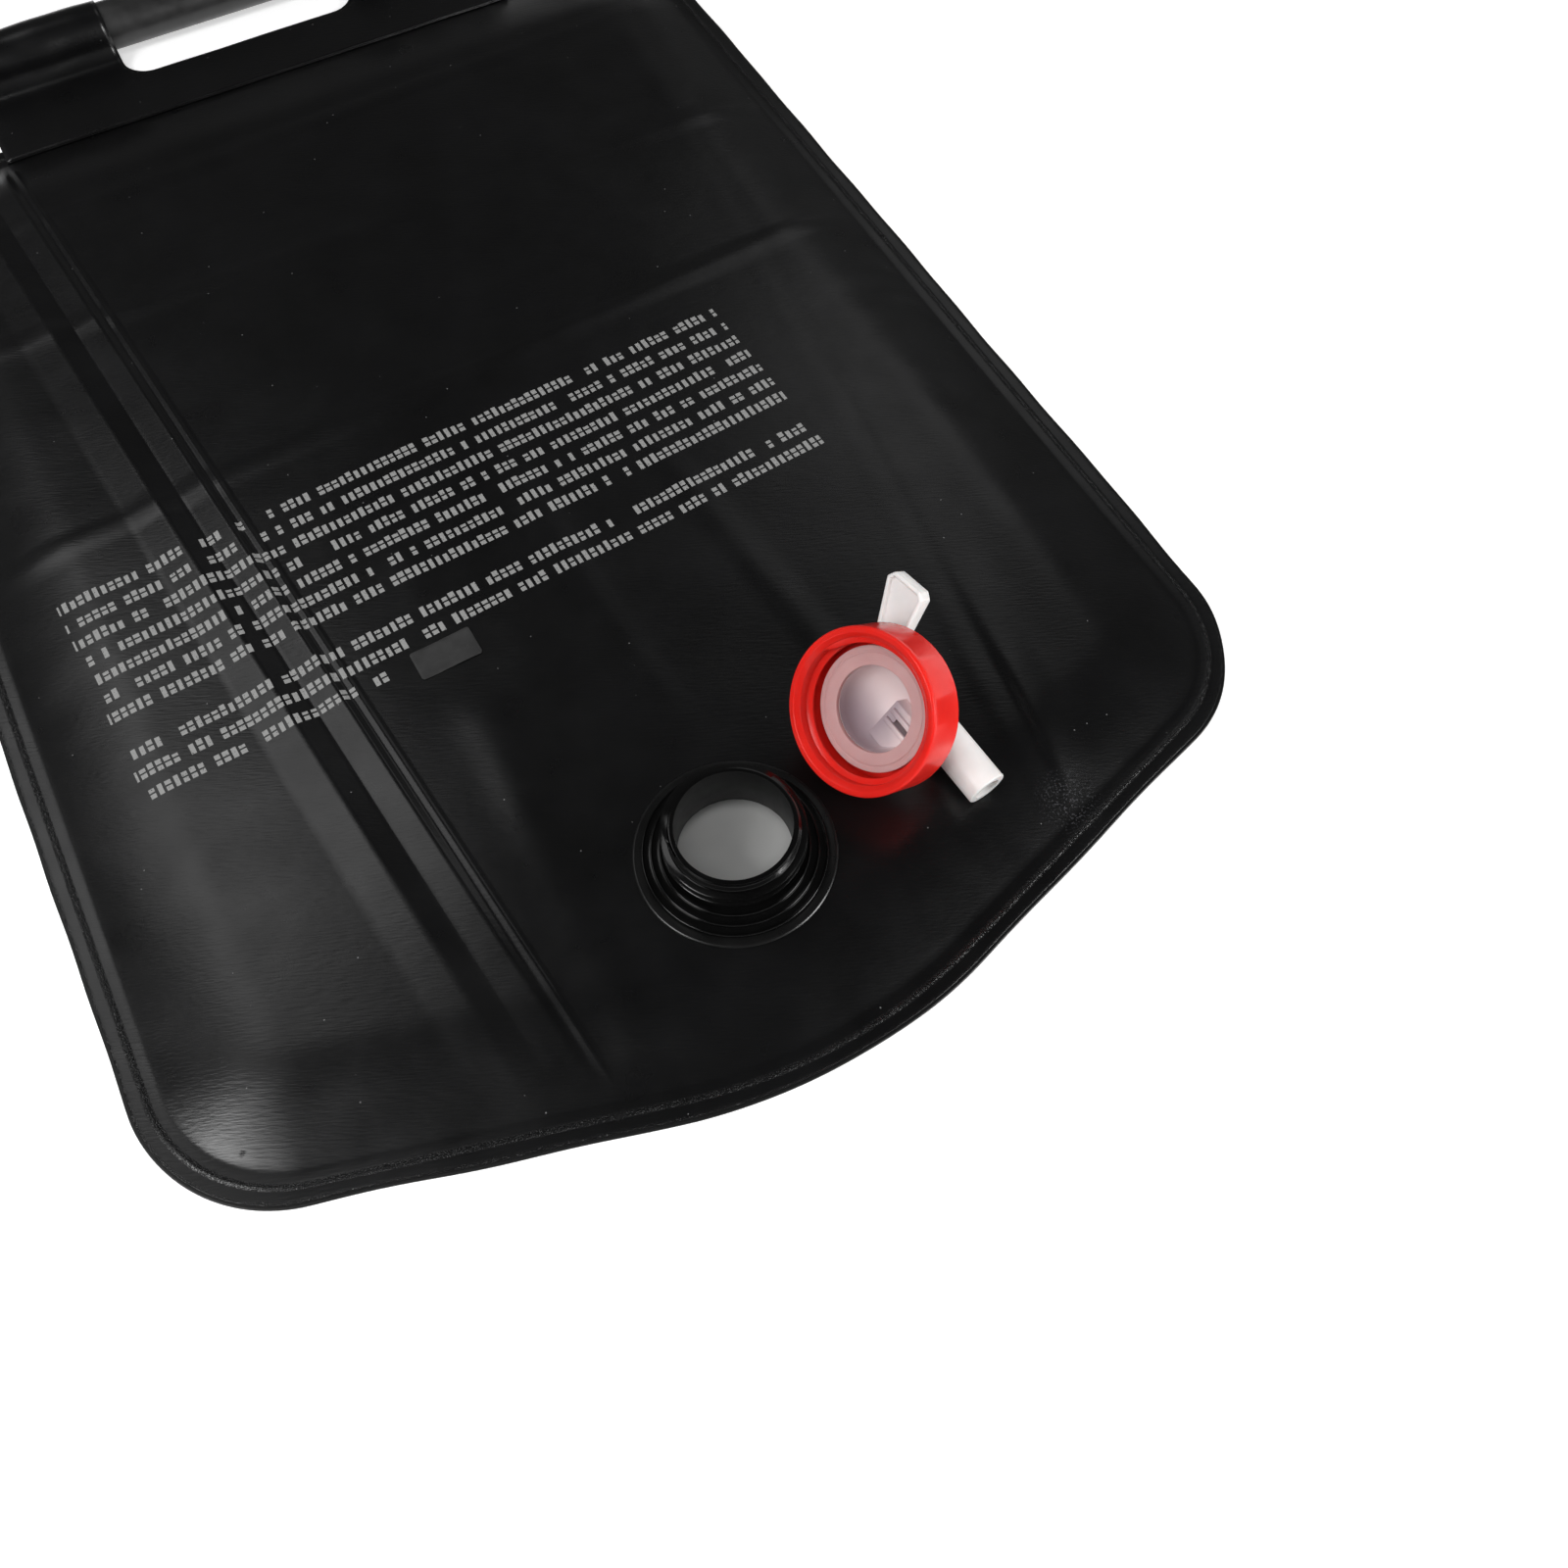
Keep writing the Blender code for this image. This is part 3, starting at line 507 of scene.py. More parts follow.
# %% Outline as straight sides and arcs
TIP_SLOPE = math.radians(16.7)
TIP_RADIUS = 0.185
CORNER_RADIUS = 0.055
half_width = bag_high.x
lift = TIP_RADIUS * (1.0 / math.cos(TIP_SLOPE) - 1.0)
shoulder_y = bag_low.y - lift + half_width * math.tan(TIP_SLOPE)
CORNERS = [(0.0, bag_low.y - lift, TIP_RADIUS), (half_width, shoulder_y, CORNER_RADIUS),
           (half_width, bag_high.y, CORNER_RADIUS), (-half_width, bag_high.y, CORNER_RADIUS),
           (-half_width, shoulder_y, CORNER_RADIUS)]
points = [Vector(corner[:2]) for corner in CORNERS]
SIDES = []
for here, after in zip(points, points[1:] + points[:1]):
    way = (after - here).normalized()
    SIDES.append((Vector((way.y, -way.x)), here))
ARCS = []
for index, (corner, (_, _, radius)) in enumerate(zip(points, CORNERS)):
    first, second = SIDES[index - 1][0], SIDES[index][0]
    inwards = -(first + second).normalized()
    ARCS.append((corner + inwards * radius / inwards.dot(-first), radius, first, second))


def to_edge(x, y):
    """Distance inside the outline, and the direction straight out, for arrays of points."""
    gaps = np.stack([n.x * (p.x - x) + n.y * (p.y - y) for n, p in SIDES])
    nearest = gaps.argmin(0)
    inset = gaps.min(0)
    nx = np.array([n.x for n, _ in SIDES])[nearest]
    ny = np.array([n.y for n, _ in SIDES])[nearest]
    for centre, radius, first, second in ARCS:
        dx, dy = x - centre.x, y - centre.y
        reach = np.hypot(dx, dy) + 1e-12
        inside = (first.x * dy - first.y * dx > 0) & (dx * second.y - dy * second.x > 0)
        inset = np.where(inside, radius - reach, inset)
        nx = np.where(inside, dx / reach, nx)
        ny = np.where(inside, dy / reach, ny)
    return inset, nx, ny


def smooth(value):
    value = np.clip(value, 0.0, 1.0)
    return value * value * (3.0 - 2.0 * value)


print("outline", [tuple(round(v, 4) for v in point) for point in points])

# %% [markdown]
# ## How the upper sheet lies
#
# Folds decide whether black film looks like film. The packing left three creases up the left
# side, which climb slowly from the left and drop sharply, and softer ones on the right. The
# rest is a slow swell, small puckers behind the weld, and crosswise packing folds further up.
# The film lies flat where something stands on it: the neck, the label and the loose tap.
# It is formed by these sums rather than by simulation, because each fold has a known place.

# %% Heights of the film
WELD_END, WELD_LINE = 11.2 * MM, 6.6 * MM
SHOULDER, SHOULDER_POWER = 36 * MM, 1.5
PRESSED_HEIGHT, PRESSED_WIDTH = 0.24 * MM, 0.36 * MM
SLOW_SWELL, SMALL_SWELL = (0.55 * MM, 0.16, 1), (0.16 * MM, 0.055, 2)  # height, wave, seed
FOLD_LEAN = -0.103
# crest from the neck at the neck's height, climb, fall, height, all in mm
LEFT_FOLDS = ((-95.9, 12.0, 8.0, 2.2), (-77.9, 9.5, 2.7, 2.1), (-72.8, 2.5, 1.0, 0.55))
# crest, lean, climb, fall, height, and how far up it starts to fade
RIGHT_FOLDS = ((114.0, 0.139, 4.5, 15.0, 1.0, 10.0), (103.0, 0.139, 7.0, 7.5, 0.40, 10.0),
               (70.0, -0.10, 6.0, 12.0, 0.45, 130.0), (10.0, -0.05, 9.0, 9.0, 0.45, 150.0),
               (-53.0, 0.02, 12.0, 12.0, 0.40, 150.0),
               (150.0, 0.05, 18.0, 14.0, 0.45, 200.0))
# crest above the neck in metres, lean, climb, fall, height
CROSS_FOLDS = ((0.235, 0.05, 5.0, 4.0, 0.9), (0.330, -0.03, 4.0, 6.0, 0.7),
               (0.405, 0.02, 5.0, 5.0, 0.6))
label_low, label_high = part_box("label_patch")
LABEL_X, LABEL_Y = (label_low.x + label_high.x) / 2, (label_low.y + label_high.y) / 2
# where something stands on the film: its place, and the reach in mm of the calm and of the rest
CALM_SPOTS = ((NECK_X, NECK_Y, 36, 78), (0.0465, NECK_Y + 0.009, 10, 30),
              (0.083, NECK_Y - 0.025, 10, 28), (LABEL_X, LABEL_Y, 15, 32))


def fold(across, climb, fall, height, soft):
    """Climbs to a crest at 0 and falls behind it. Lengths in mm, result in metres."""
    rise = np.clip((across + climb) / climb, 0.0, 1.0)
    drop = np.clip(across / fall, 0.0, 1.0)
    if soft:
        rise, drop = smooth(rise), smooth(drop)
    return height * MM * rise * (1.0 - drop)


def swell(x, y, wave, seed):
    """Slow undulation between -1 and 1."""
    random = np.random.default_rng(seed)
    total = np.zeros_like(x)
    for _ in range(7):
        angle, phase = random.uniform(0, TURN, 2)
        length = wave * random.uniform(0.7, 1.7)
        total += np.sin(TURN * (x * math.cos(angle) + y * math.sin(angle)) / length + phase)
    return total / 4.0


def calm(x, y):
    """0 where something stands on the film, 1 well away from it."""
    total = np.ones_like(x)
    for spot_x, spot_y, near, far in CALM_SPOTS:
        away = np.hypot(x - spot_x, y - spot_y) / MM
        total *= smooth((away - near) / (far - near))
    return total


def folds(x, y):
    """All creases and soft folds together, above the film's own dome."""
    bx, by = x / MM, (y - NECK_Y) / MM
    uneven = 1.0 + 0.2 * swell(x, y, 0.16, 4)
    relief = np.zeros_like(x)
    for crest, climb, fall, height in LEFT_FOLDS:
        weakest = 0.65 if climb < 3.0 else 0.15
        strength = (weakest + (1.0 - weakest) * smooth((by + 30.0) / 110.0)) * uneven
        relief += fold(bx - crest - FOLD_LEAN * by, climb, fall, height, False) * strength
    for crest, lean, climb, fall, height, fades in RIGHT_FOLDS:
        fading = 1.0 - 0.8 * smooth((by - fades) / 60.0)
        strength = (1.0 + 0.5 * swell(x + crest, y, 0.20, 9)) * fading
        relief += fold(bx - crest - lean * by, climb, fall, height, True) * strength
    for crest, lean, climb, fall, height in CROSS_FOLDS:
        strength = 0.8 + 0.5 * swell(x, y + crest, 0.18, 12)
        relief += fold(by - crest / MM - lean * bx, climb, fall, height, True) * strength
    return relief


def puckers(x, y, inset):
    """Small waves across the edge, in a band behind the weld."""
    around = np.arctan2(y, x) * 0.27
    behind = smooth((inset - WELD_END) / 0.008) * (1 - smooth((inset - 0.022) / 0.030))
    return 0.45 * MM * behind * swell(around, inset * 0.3, 0.030, 7) * swell(x, y, 0.20, 8)


def film_height(x, y, inset):
    share = np.clip((inset - WELD_END) / SHOULDER, 0.0, 1.0)
    dome = (SHEET_TOP - WELD_LEVEL) * (1.0 - (1.0 - share) ** SHOULDER_POWER)
    relief = folds(x, y)
    for height, wave, seed in (SLOW_SWELL, SMALL_SWELL):
        relief += height * swell(x, y, wave, seed)
    relief *= calm(x, y) * smooth((inset - WELD_END) / 0.026)
    pressed = PRESSED_HEIGHT * np.exp(-((inset - WELD_LINE) / PRESSED_WIDTH) ** 2)
    return WELD_LEVEL + dome + relief + puckers(x, y, inset) + pressed


# %% [markdown]
# ## Cutting a sheet to the outline
#
# A grid is bent so that its columns run along the left creases and crowd together there. It
# is then trimmed by planes round the outline, and its rim is extruded outwards ring by ring,
# so that the weld, its pressed line and the cut edge have lines of the mesh along them.

# %% Grid, trim and rings
EDGE_STEP = 1.2 * MM  # the upper sheet's edge lies this far inside the lower one's
GRID_OVERRUN = 4 * MM
NEAR_PLANE = 1e-7


def sheet_grid(columns, rows, lean_from):
    """A grid over the whole bag with the given column places, leaning along the creases."""
    bm = bmesh.new()
    bmesh.ops.create_grid(bm, x_segments=len(columns) - 1, y_segments=len(rows) - 1, size=0.5)
    for vert in bm.verts:
        column = columns[round((vert.co.x + 0.5) * (len(columns) - 1))]
        y = rows[round((vert.co.y + 0.5) * (len(rows) - 1))]
        lean = FOLD_LEAN * lean_from(column)
        vert.co = (column + lean * (y - NECK_Y), y, 0.0)
    return bm


def trim_to(bm, inset, step=5.0):
    """Cuts away what lies outside the outline drawn in by inset."""
    planes = [(point - normal * inset, normal) for normal, point in SIDES]
    for centre, radius, first, second in ARCS:
        sweep = first.angle(second)
        count = math.ceil(math.degrees(sweep) / step)
        for i in range(1, count):
            normal = Matrix.Rotation(sweep * i / count, 2) @ first
            planes.append((centre + normal * (radius - inset), normal))
    for point, normal in planes:
        bmesh.ops.bisect_plane(bm, geom=bm.verts[:] + bm.edges[:] + bm.faces[:], dist=NEAR_PLANE,
                               plane_co=(*point, 0.0), plane_no=(*normal, 0.0), clear_outer=True)


def rim_of(bm):
    return [edge for edge in bm.edges if edge.is_boundary]


def ends_of(edges):
    """The edges' vertices, each once, in the order of their places, so that every run is alike."""
    return sorted({vert for edge in edges for vert in edge.verts}, key=lambda vert: vert.co[:])


def snap_rim(verts, inset):
    xy = np.array([vert.co[:2] for vert in verts])
    have, nx, ny = to_edge(xy[:, 0], xy[:, 1])
    for vert, gap, x, y in zip(verts, have - inset, nx, ny):
        vert.co.x += x * gap
        vert.co.y += y * gap


def grow_rings(bm, insets, spacing):
    """Evens the rim out to a spacing, then extrudes it outwards to each inset in turn."""
    near = ends_of(edge for vert in ends_of(rim_of(bm)) for edge in vert.link_edges)
    bmesh.ops.remove_doubles(bm, verts=near, dist=spacing * 0.6)
    for _ in range(3):
        long = [edge for edge in rim_of(bm) if edge.calc_length() > spacing * 1.5]
        bmesh.ops.subdivide_edges(bm, edges=long, cuts=1)
    snap_rim(ends_of(rim_of(bm)), insets[0])
    for inset in insets[1:]:
        grown = bmesh.ops.extrude_edge_only(bm, edges=rim_of(bm))["geom"]
        snap_rim([item for item in grown if isinstance(item, bmesh.types.BMVert)], inset)


def open_hole(bm, radius):
    """Opens a round hole under the neck."""
    def away(co):
        return math.hypot(co.x - NECK_X, co.y - NECK_Y)
    inner = [face for face in bm.faces if away(face.calc_center_median()) < radius]
    bmesh.ops.delete(bm, geom=inner, context="FACES")
    for vert in ends_of(rim_of(bm)):
        reach = away(vert.co)
        if reach < radius * 1.5:
            vert.co.x = NECK_X + (vert.co.x - NECK_X) * radius / reach
            vert.co.y = NECK_Y + (vert.co.y - NECK_Y) * radius / reach


def columns_between(*stops):
    """Places from (start, spacing) pairs in mm, the last giving the end."""
    made = []
    for (start, spacing), (end, _) in zip(stops, stops[1:]):
        made += list(np.linspace(start, end, max(1, round((end - start) / spacing)) + 1)[:-1])
    return np.array(made + [stops[-1][0]]) * MM


def bending(column):
    """1 along the creases, fading to 0 at the bag's side and beyond its middle."""
    place = np.array(column / MM)
    return float(smooth((place + 215.0) / 95.0) * (1 - smooth((place + 62.0) / 150.0)))


def edge_wander(x, y, inset):
    """How far the trimmed edge of both sheets strays inwards."""
    return 0.5 * MM * (1.0 + swell(x, y, 0.045, 21)) * (1.0 - smooth(inset / (5 * MM)))


# %% The upper sheet
FRONT_EDGES = [v * MM for v in (16, 13.4, 11.8, 10.8, 9.4, 8.0, 7.0, 6.6, 6.2, 5.4, 4.2, 2.9,
                               1.9, 1.45, 1.2)]
NECK_HOLE = 19.4 * MM
FRONT_COLUMNS = columns_between(
    (-226, 3.9), (-112, 2.0), (-107.9, 1.5), (-95.9, 1.33), (-87.9, 0.5), (-87.4, 1.36),
    (-77.9, 0.68), (-75.3, 0.62), (-72.8, 0.5), (-71.8, 1.6), (-67, 3.4), (40, 2.6), (95, 1.8),
    (132, 3.9), (206, 1))


def rows(count):
    return np.linspace(bag_low.y - GRID_OVERRUN, bag_high.y + GRID_OVERRUN, count)


def line_at(gap, place, width):
    """1 on a line at a distance inside the edge, fading over its width. All in mm."""
    return math.exp(-((gap - place) / width) ** 2)


def face_up(bm):
    """Turns a sheet's faces to its upper side."""
    bmesh.ops.recalc_face_normals(bm, faces=bm.faces)
    if sum(face.normal.z for face in bm.faces) < 0:
        bmesh.ops.reverse_faces(bm, faces=bm.faces)


def make_front_film():
    bm = sheet_grid(FRONT_COLUMNS, rows(149), bending)
    trim_to(bm, FRONT_EDGES[0])
    grow_rings(bm, FRONT_EDGES, 1.35 * MM)
    open_hole(bm, NECK_HOLE)
    xy = np.array([vert.co[:2] for vert in bm.verts])
    inset, nx, ny = to_edge(xy[:, 0], xy[:, 1])
    heights = film_height(xy[:, 0], xy[:, 1], inset)
    wander = edge_wander(xy[:, 0], xy[:, 1], inset)
    weld = bm.verts.layers.float.new("weld")
    for vert, height, gap, x, y, shift in zip(bm.verts, heights, inset / MM, nx, ny, wander):
        vert.co = (vert.co.x - x * shift, vert.co.y - y * shift, height)
        vert[weld] = line_at(gap, WELD_LINE / MM, 0.45) + 0.4 * line_at(gap, 1.5, 0.4)
    face_up(bm)
    obj = show("front_film", bm, "bag", ["front_sheet"], PRINTED_FILM, crease=60)
    wall = obj.modifiers.new("wall", "SOLIDIFY")
    wall.thickness = FRONT_THICKNESS
    wall.offset = -1.0
    return obj


FRONT_FILM = make_front_film()

# %% [markdown]
# ## The lower sheet
#
# It lies flat on the ground and shows only as a narrow dark edge outside the upper sheet and
# as the cloudy floor that is seen down the neck. Its wall is thicker along the weld, where
# the squeezed-out film fills the gap between the two sheets. A vertex group tells the
# Solidify modifier where.

# %% The lower sheet
BACK_EDGES = [v * MM for v in (16, 12.5, 11.2, 10.4, 6.5, 2.6, 1.2, 0.5, 0.0)]
WELD_FILL = 0.28 * MM  # film squeezed out between the two sheets


def make_back_film():
    bm = sheet_grid(columns_between((-206, 6.0), (206, 1)), rows(91), lambda _: 0.0)
    trim_to(bm, BACK_EDGES[0])
    grow_rings(bm, BACK_EDGES, 1.9 * MM)
    xy = np.array([vert.co[:2] for vert in bm.verts])
    inset, nx, ny = to_edge(xy[:, 0], xy[:, 1])
    wander = edge_wander(xy[:, 0], xy[:, 1], inset)
    # The weld band, where the wall is thicker and the smoky film is black: fused film under the
    # upper sheet, and painted shadow on the narrow edge outside it.
    band = 1.0 - smooth((inset - BACK_EDGES[3]) / (1.0 * MM))
    weld = bm.verts.layers.float.new("weld")
    for vert, x, y, shift, share in zip(bm.verts, nx, ny, wander, band):
        vert.co.x -= x * shift
        vert.co.y -= y * shift
        vert[weld] = share
    face_up(bm)
    obj = show("back_film", bm, "bag", ["back_sheet"], SMOKY_FILM)
    group = obj.vertex_groups.new(name="weld")
    group.add([i for i, share in enumerate(band) if share > 0.5], 1.0, "REPLACE")
    wall = obj.modifiers.new("wall", "SOLIDIFY")
    wall.thickness = BACK_THICKNESS + WELD_FILL
    wall.offset = 1.0
    wall.vertex_group = group.name
    wall.thickness_vertex_group = BACK_THICKNESS / wall.thickness
    return obj


BACK_FILM = make_back_film()

# %% [markdown]
# ## The filler neck and its patch
#
# The neck is one black moulding: a plain lip, a threaded wall and a base that steps down to
# the sheet. Each step ends in a small raised bead, which is what draws the bright rings that
# the eye reads first, and the thread's crest has a finer bead along each edge for the same
# reason. The neck is turned, its corners are bevelled, and the thread and the two thin parting
# lines are joined on.

# %% The filler neck
NECK_BORE, LIP_RADIUS, NECK_WALL = 18.8 * MM, 20.4 * MM, 21.4 * MM
STEP_RADII = (24.5 * MM, 27.4 * MM, 30.3 * MM)
STEP_HEIGHT = 1.3 * MM
BEAD = 0.28 * MM
PITCH = 4.0 * MM
THREAD_START, THREAD_CREST, THREAD_ROOT = 6.8 * MM, 23.3 * MM, 20.8 * MM
THREAD_HALF_ROOT, THREAD_HALF_CREST, THREAD_BEAD = 1.3 * MM, 0.5 * MM, 0.12 * MM
PARTING_LINE = (2.1 * MM, 0.22 * MM, NECK_HEIGHT - 7.0 * MM)
PARTING_TURNS = (math.radians(-62.0), math.radians(118.0))


def stepped_base(profile):
    """Adds the steps outside the neck's wall, each with a bead along its edge."""
    inner = NECK_WALL
    for level, radius in zip((3, 2, 1), STEP_RADII):
        top = STEP_HEIGHT * level - BEAD
        profile += [(inner, top), (radius - 3.0 * BEAD, top), (radius - 2.2 * BEAD, top + BEAD),
                    (radius - 0.8 * BEAD, top + BEAD), (radius, top)]
        inner = radius
    return profile + [(inner, 0.0)]


def neck_thread():
    """A ridge whose flat crest has a bead along each edge."""
    half, bead = THREAD_HALF_CREST, THREAD_BEAD
    flank = [(THREAD_ROOT, THREAD_HALF_ROOT), (THREAD_CREST - 2 * bead, half + 1.5 * bead),
             (THREAD_CREST, half + 0.4 * bead), (THREAD_CREST, half - 0.4 * bead),
             (THREAD_CREST - bead, half - 1.5 * bead)]
    return thread([(out, THREAD_START - up) for out, up in flank]
                  + [(out, THREAD_START + up) for out, up in reversed(flank)], 2.5, PITCH, 144)


def parting_line(turn):
    bm = bmesh.new()
    bmesh.ops.create_cube(bm, size=1.0)
    bmesh.ops.scale(bm, vec=PARTING_LINE, verts=bm.verts)
    bmesh.ops.translate(bm, vec=(NECK_WALL, 0.0, NECK_HEIGHT / 2), verts=bm.verts)
    bmesh.ops.rotate(bm, cent=(0, 0, 0), matrix=Matrix.Rotation(turn, 3, "Z"), verts=bm.verts)
    return bm


def make_neck():
    profile = stepped_base([
        (NECK_BORE, 0.0), (NECK_BORE, NECK_HEIGHT), (LIP_RADIUS, NECK_HEIGHT),
        (LIP_RADIUS, NECK_HEIGHT - 1.8 * MM), (NECK_WALL, NECK_HEIGHT - 2.6 * MM)])
    bm = lathe(profile, steps=144)
    round_edges(bm, 0.12 * MM, 2, 30)
    bm = joined(bm, [(neck_thread(), "UNION")]
                + [(parting_line(turn), "UNION") for turn in PARTING_TURNS])
    shade = bm.verts.layers.float.new("shade")
    for vert in bm.verts:
        vert[shade] = float(math.hypot(vert.co.x, vert.co.y) < NECK_BORE + 0.1 * MM)
    place = Matrix.Translation((NECK_X, NECK_Y, NECK_BOTTOM))
    return show("threaded_neck", bm, "bag", ["filler_neck"],
                NECK_BLACK, place)


def make_neck_patch():
    """The welded ring round the base, with a soft raised rim."""
    low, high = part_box("neck_patch")
    radius, depth = (high.x - low.x) / 2, high.z - low.z
    profile = [(NECK_HOLE, 0.0), (NECK_HOLE, depth * 0.6), (radius - 1.9 * MM, depth * 0.6),
               (radius - 1.2 * MM, depth), (radius - 0.5 * MM, depth), (radius, depth * 0.4),
               (radius, 0.0)]
    bm = round_edges(lathe(profile, steps=128), 0.10 * MM, 2, 30)
    return show("neck_ring_patch", bm, "bag", ["neck_patch"], PATCH_BLACK,
                Matrix.Translation((NECK_X, NECK_Y, low.z)))


make_neck()
make_neck_patch()

# %% [markdown]
# ## The blank label
#
# A small dark tab of film is stuck on above the neck. It stays blank. A subdivided plate with
# rounded corners is enough, with one corner lifted a little as stuck film does.

# %% The label
LABEL_WIDTH, LABEL_HEIGHT, LABEL_THICKNESS = 22.8 * MM, 12.4 * MM, 0.42 * MM
LABEL_TURN = math.radians(2.0)
LABEL_LIFT = 0.5 * MM  # at the corner that stands off
LABEL_WAVE, LABEL_WAVE_HEIGHT = 3.1 * MM, 0.10 * MM


def make_label():
    bm = bmesh.new()
    bmesh.ops.create_grid(bm, x_segments=1, y_segments=1, size=0.5)
    bmesh.ops.scale(bm, vec=(LABEL_WIDTH, LABEL_HEIGHT, 1.0), verts=bm.verts)
    bmesh.ops.bevel(bm, geom=bm.verts[:], offset=1.1 * MM, segments=4, profile=0.5,
                    affect="VERTICES", material=-1)
    grown = bmesh.ops.extrude_face_region(bm, geom=bm.faces[:], use_keep_orig=True)
    raised = [item for item in grown["geom"] if isinstance(item, bmesh.types.BMVert)]
    bmesh.ops.translate(bm, vec=(0, 0, LABEL_THICKNESS), verts=raised)
    bmesh.ops.recalc_face_normals(bm, faces=bm.faces)
    round_edges(bm, 0.14 * MM, 2, 50)
    for direction, count, length in (((1, 0, 0), 16, LABEL_WIDTH), ((0, 1, 0), 9, LABEL_HEIGHT)):
        for i in range(1, count):
            offset = length * (i / count - 0.5)
            bmesh.ops.bisect_plane(bm, geom=bm.verts[:] + bm.edges[:] + bm.faces[:], dist=NEAR_PLANE,
                                   plane_co=Vector(direction) * offset, plane_no=direction)
    for vert in bm.verts:
        towards_corner = np.array((vert.co.x + vert.co.y - 11 * MM) / (8 * MM))
        vert.co.z += LABEL_LIFT * float(smooth(towards_corner))
        vert.co.z += LABEL_WAVE_HEIGHT * math.sin(vert.co.x / LABEL_WAVE)
    place = Matrix.Translation((LABEL_X, LABEL_Y, SHEET_TOP + 0.14 * MM))
    return show("blank_label", bm, "bag", ["label_patch"], LABEL_GREY,
                place @ Matrix.Rotation(LABEL_TURN, 4, "Z"))


make_label()

# %% [markdown]
# ## The folded sleeve and the tube in it
#
# A strip is folded round the tube, its two layers welded together and onto the bag's top
# edge, with a window in the middle for a hand. It is made flat, as it is cut: a grid with
# the window opened in it. Then each point is carried along the path that the strip takes.

# %% The sleeve
SLEEVE_HALF, STRIP_THICKNESS, LAYER_PITCH = 120 * MM, 0.6 * MM, 0.64 * MM
WINDOW = (55 * MM, 29.2 * MM, 12 * MM)  # half width, distance from either end, corner radius
LOOP_RADIUS = 10.62 * MM
LOOP_DEGREES = range(-118, 206, 12)  # from under the tube, over it and down behind
CRUMPLE, STRAP_WAVE = 0.35 * MM, 0.12 * MM


def sleeve_path():
    """The strip's middle line across the tube, as (y, z) from the tube's axis, in order."""
    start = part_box("handle_sleeve")[0].y - TUBE_Y
    low = WELD_LEVEL + STRIP_THICKNESS - TUBE_Z
    high = low + LAYER_PITCH
    rough = [(start, low), (start / 2, low), (-13.0 * MM, low), (-8.4 * MM, low)]
    for turn in map(math.radians, LOOP_DEGREES):
        rough.append((LOOP_RADIUS * math.cos(turn), LOOP_RADIUS * math.sin(turn)))
    rough += [(-13.2 * MM, -6.6 * MM), (-17.0 * MM, high), (-24.0 * MM, high)]
    rough += [(start / 2, high), (start, high)]
    points = np.array(rough)
    for _ in range(2):
        quarter = points[:-1] * 0.75 + points[1:] * 0.25
        back = points[:-1] * 0.25 + points[1:] * 0.75
        points = np.vstack([points[:1], np.stack([quarter, back], 1).reshape(-1, 2), points[-1:]])
    run = np.concatenate([[0.0], np.cumsum(np.hypot(*np.diff(points, axis=0).T))])
    return points, run


def in_window(x, u, length):
    """Distance outside a rounded window in the flat strip, negative inside it."""
    half, end, corner = WINDOW
    dx = abs(x) - (half - corner)
    dy = abs(u - length / 2) - (length / 2 - end - corner)
    return math.hypot(max(dx, 0.0), max(dy, 0.0)) + min(max(dx, dy), 0.0) - corner


def flat_strip(length):
    """The strip as it is cut, with its window's edge drawn onto the rounded outline."""
    bm = bmesh.new()
    bmesh.ops.create_grid(bm, x_segments=96, y_segments=110, size=0.5)
    bmesh.ops.scale(bm, vec=(2 * SLEEVE_HALF, length, 1.0), verts=bm.verts)
    bmesh.ops.translate(bm, vec=(0, length / 2, 0), verts=bm.verts)
    gone = [face for face in bm.faces if in_window(*face.calc_center_median()[:2], length) < 0]
    bmesh.ops.delete(bm, geom=gone, context="FACES")
    for vert in ends_of(rim_of(bm)):
        x, u = vert.co[:2]
        if abs(x) < SLEEVE_HALF - MERGE and MERGE < u < length - MERGE:
            gap, nudge = in_window(x, u, length), 0.01 * MM
            slope = Vector(((in_window(x + nudge, u, length) - gap) / nudge,
                            (in_window(x, u + nudge, length) - gap) / nudge))
            vert.co.x -= slope.x * gap
            vert.co.y -= slope.y * gap
    return bm


def make_sleeve():
    points, run = sleeve_path()
    bm = flat_strip(run[-1])
    flat_area = sum(face.calc_area() for face in bm.faces)
    x = np.array([vert.co.x for vert in bm.verts])
    u = np.array([vert.co.y for vert in bm.verts])
    y, z = np.interp(u, run, points[:, 0]), np.interp(u, run, points[:, 1])
    loose = smooth((z + 7.5 * MM) / (4 * MM))
    crumple = loose * CRUMPLE * (1.0 + swell(x, u, 0.030, 31))
    out = 1 + crumple / (np.hypot(y, z) + 1e-9)
    strap = (1 - loose) * STRAP_WAVE * (1.0 + swell(x, y, 0.05, 33)) * smooth((-y - 0.012) / 0.010)
    for vert, *place in zip(bm.verts, x, TUBE_Y + y * out, TUBE_Z + z * out + strap):
        vert.co = place
    bmesh.ops.recalc_face_normals(bm, faces=bm.faces)
    obj = show("tube_sleeve", bm, "bag", ["handle_sleeve"], BLACK_FILM, crease=60)
    wall = obj.modifiers.new("wall", "SOLIDIFY")
    wall.thickness = STRIP_THICKNESS
    wall.offset = 0.0
    return obj, float(run[-1]), flat_area


SLEEVE, sleeve_length, sleeve_area = make_sleeve()

# %% The carrying tube
TUBE_BORE = 7.8 * MM
SHADING_RING = 12 * MM  # from each end, so that the rounded end's shading stops there


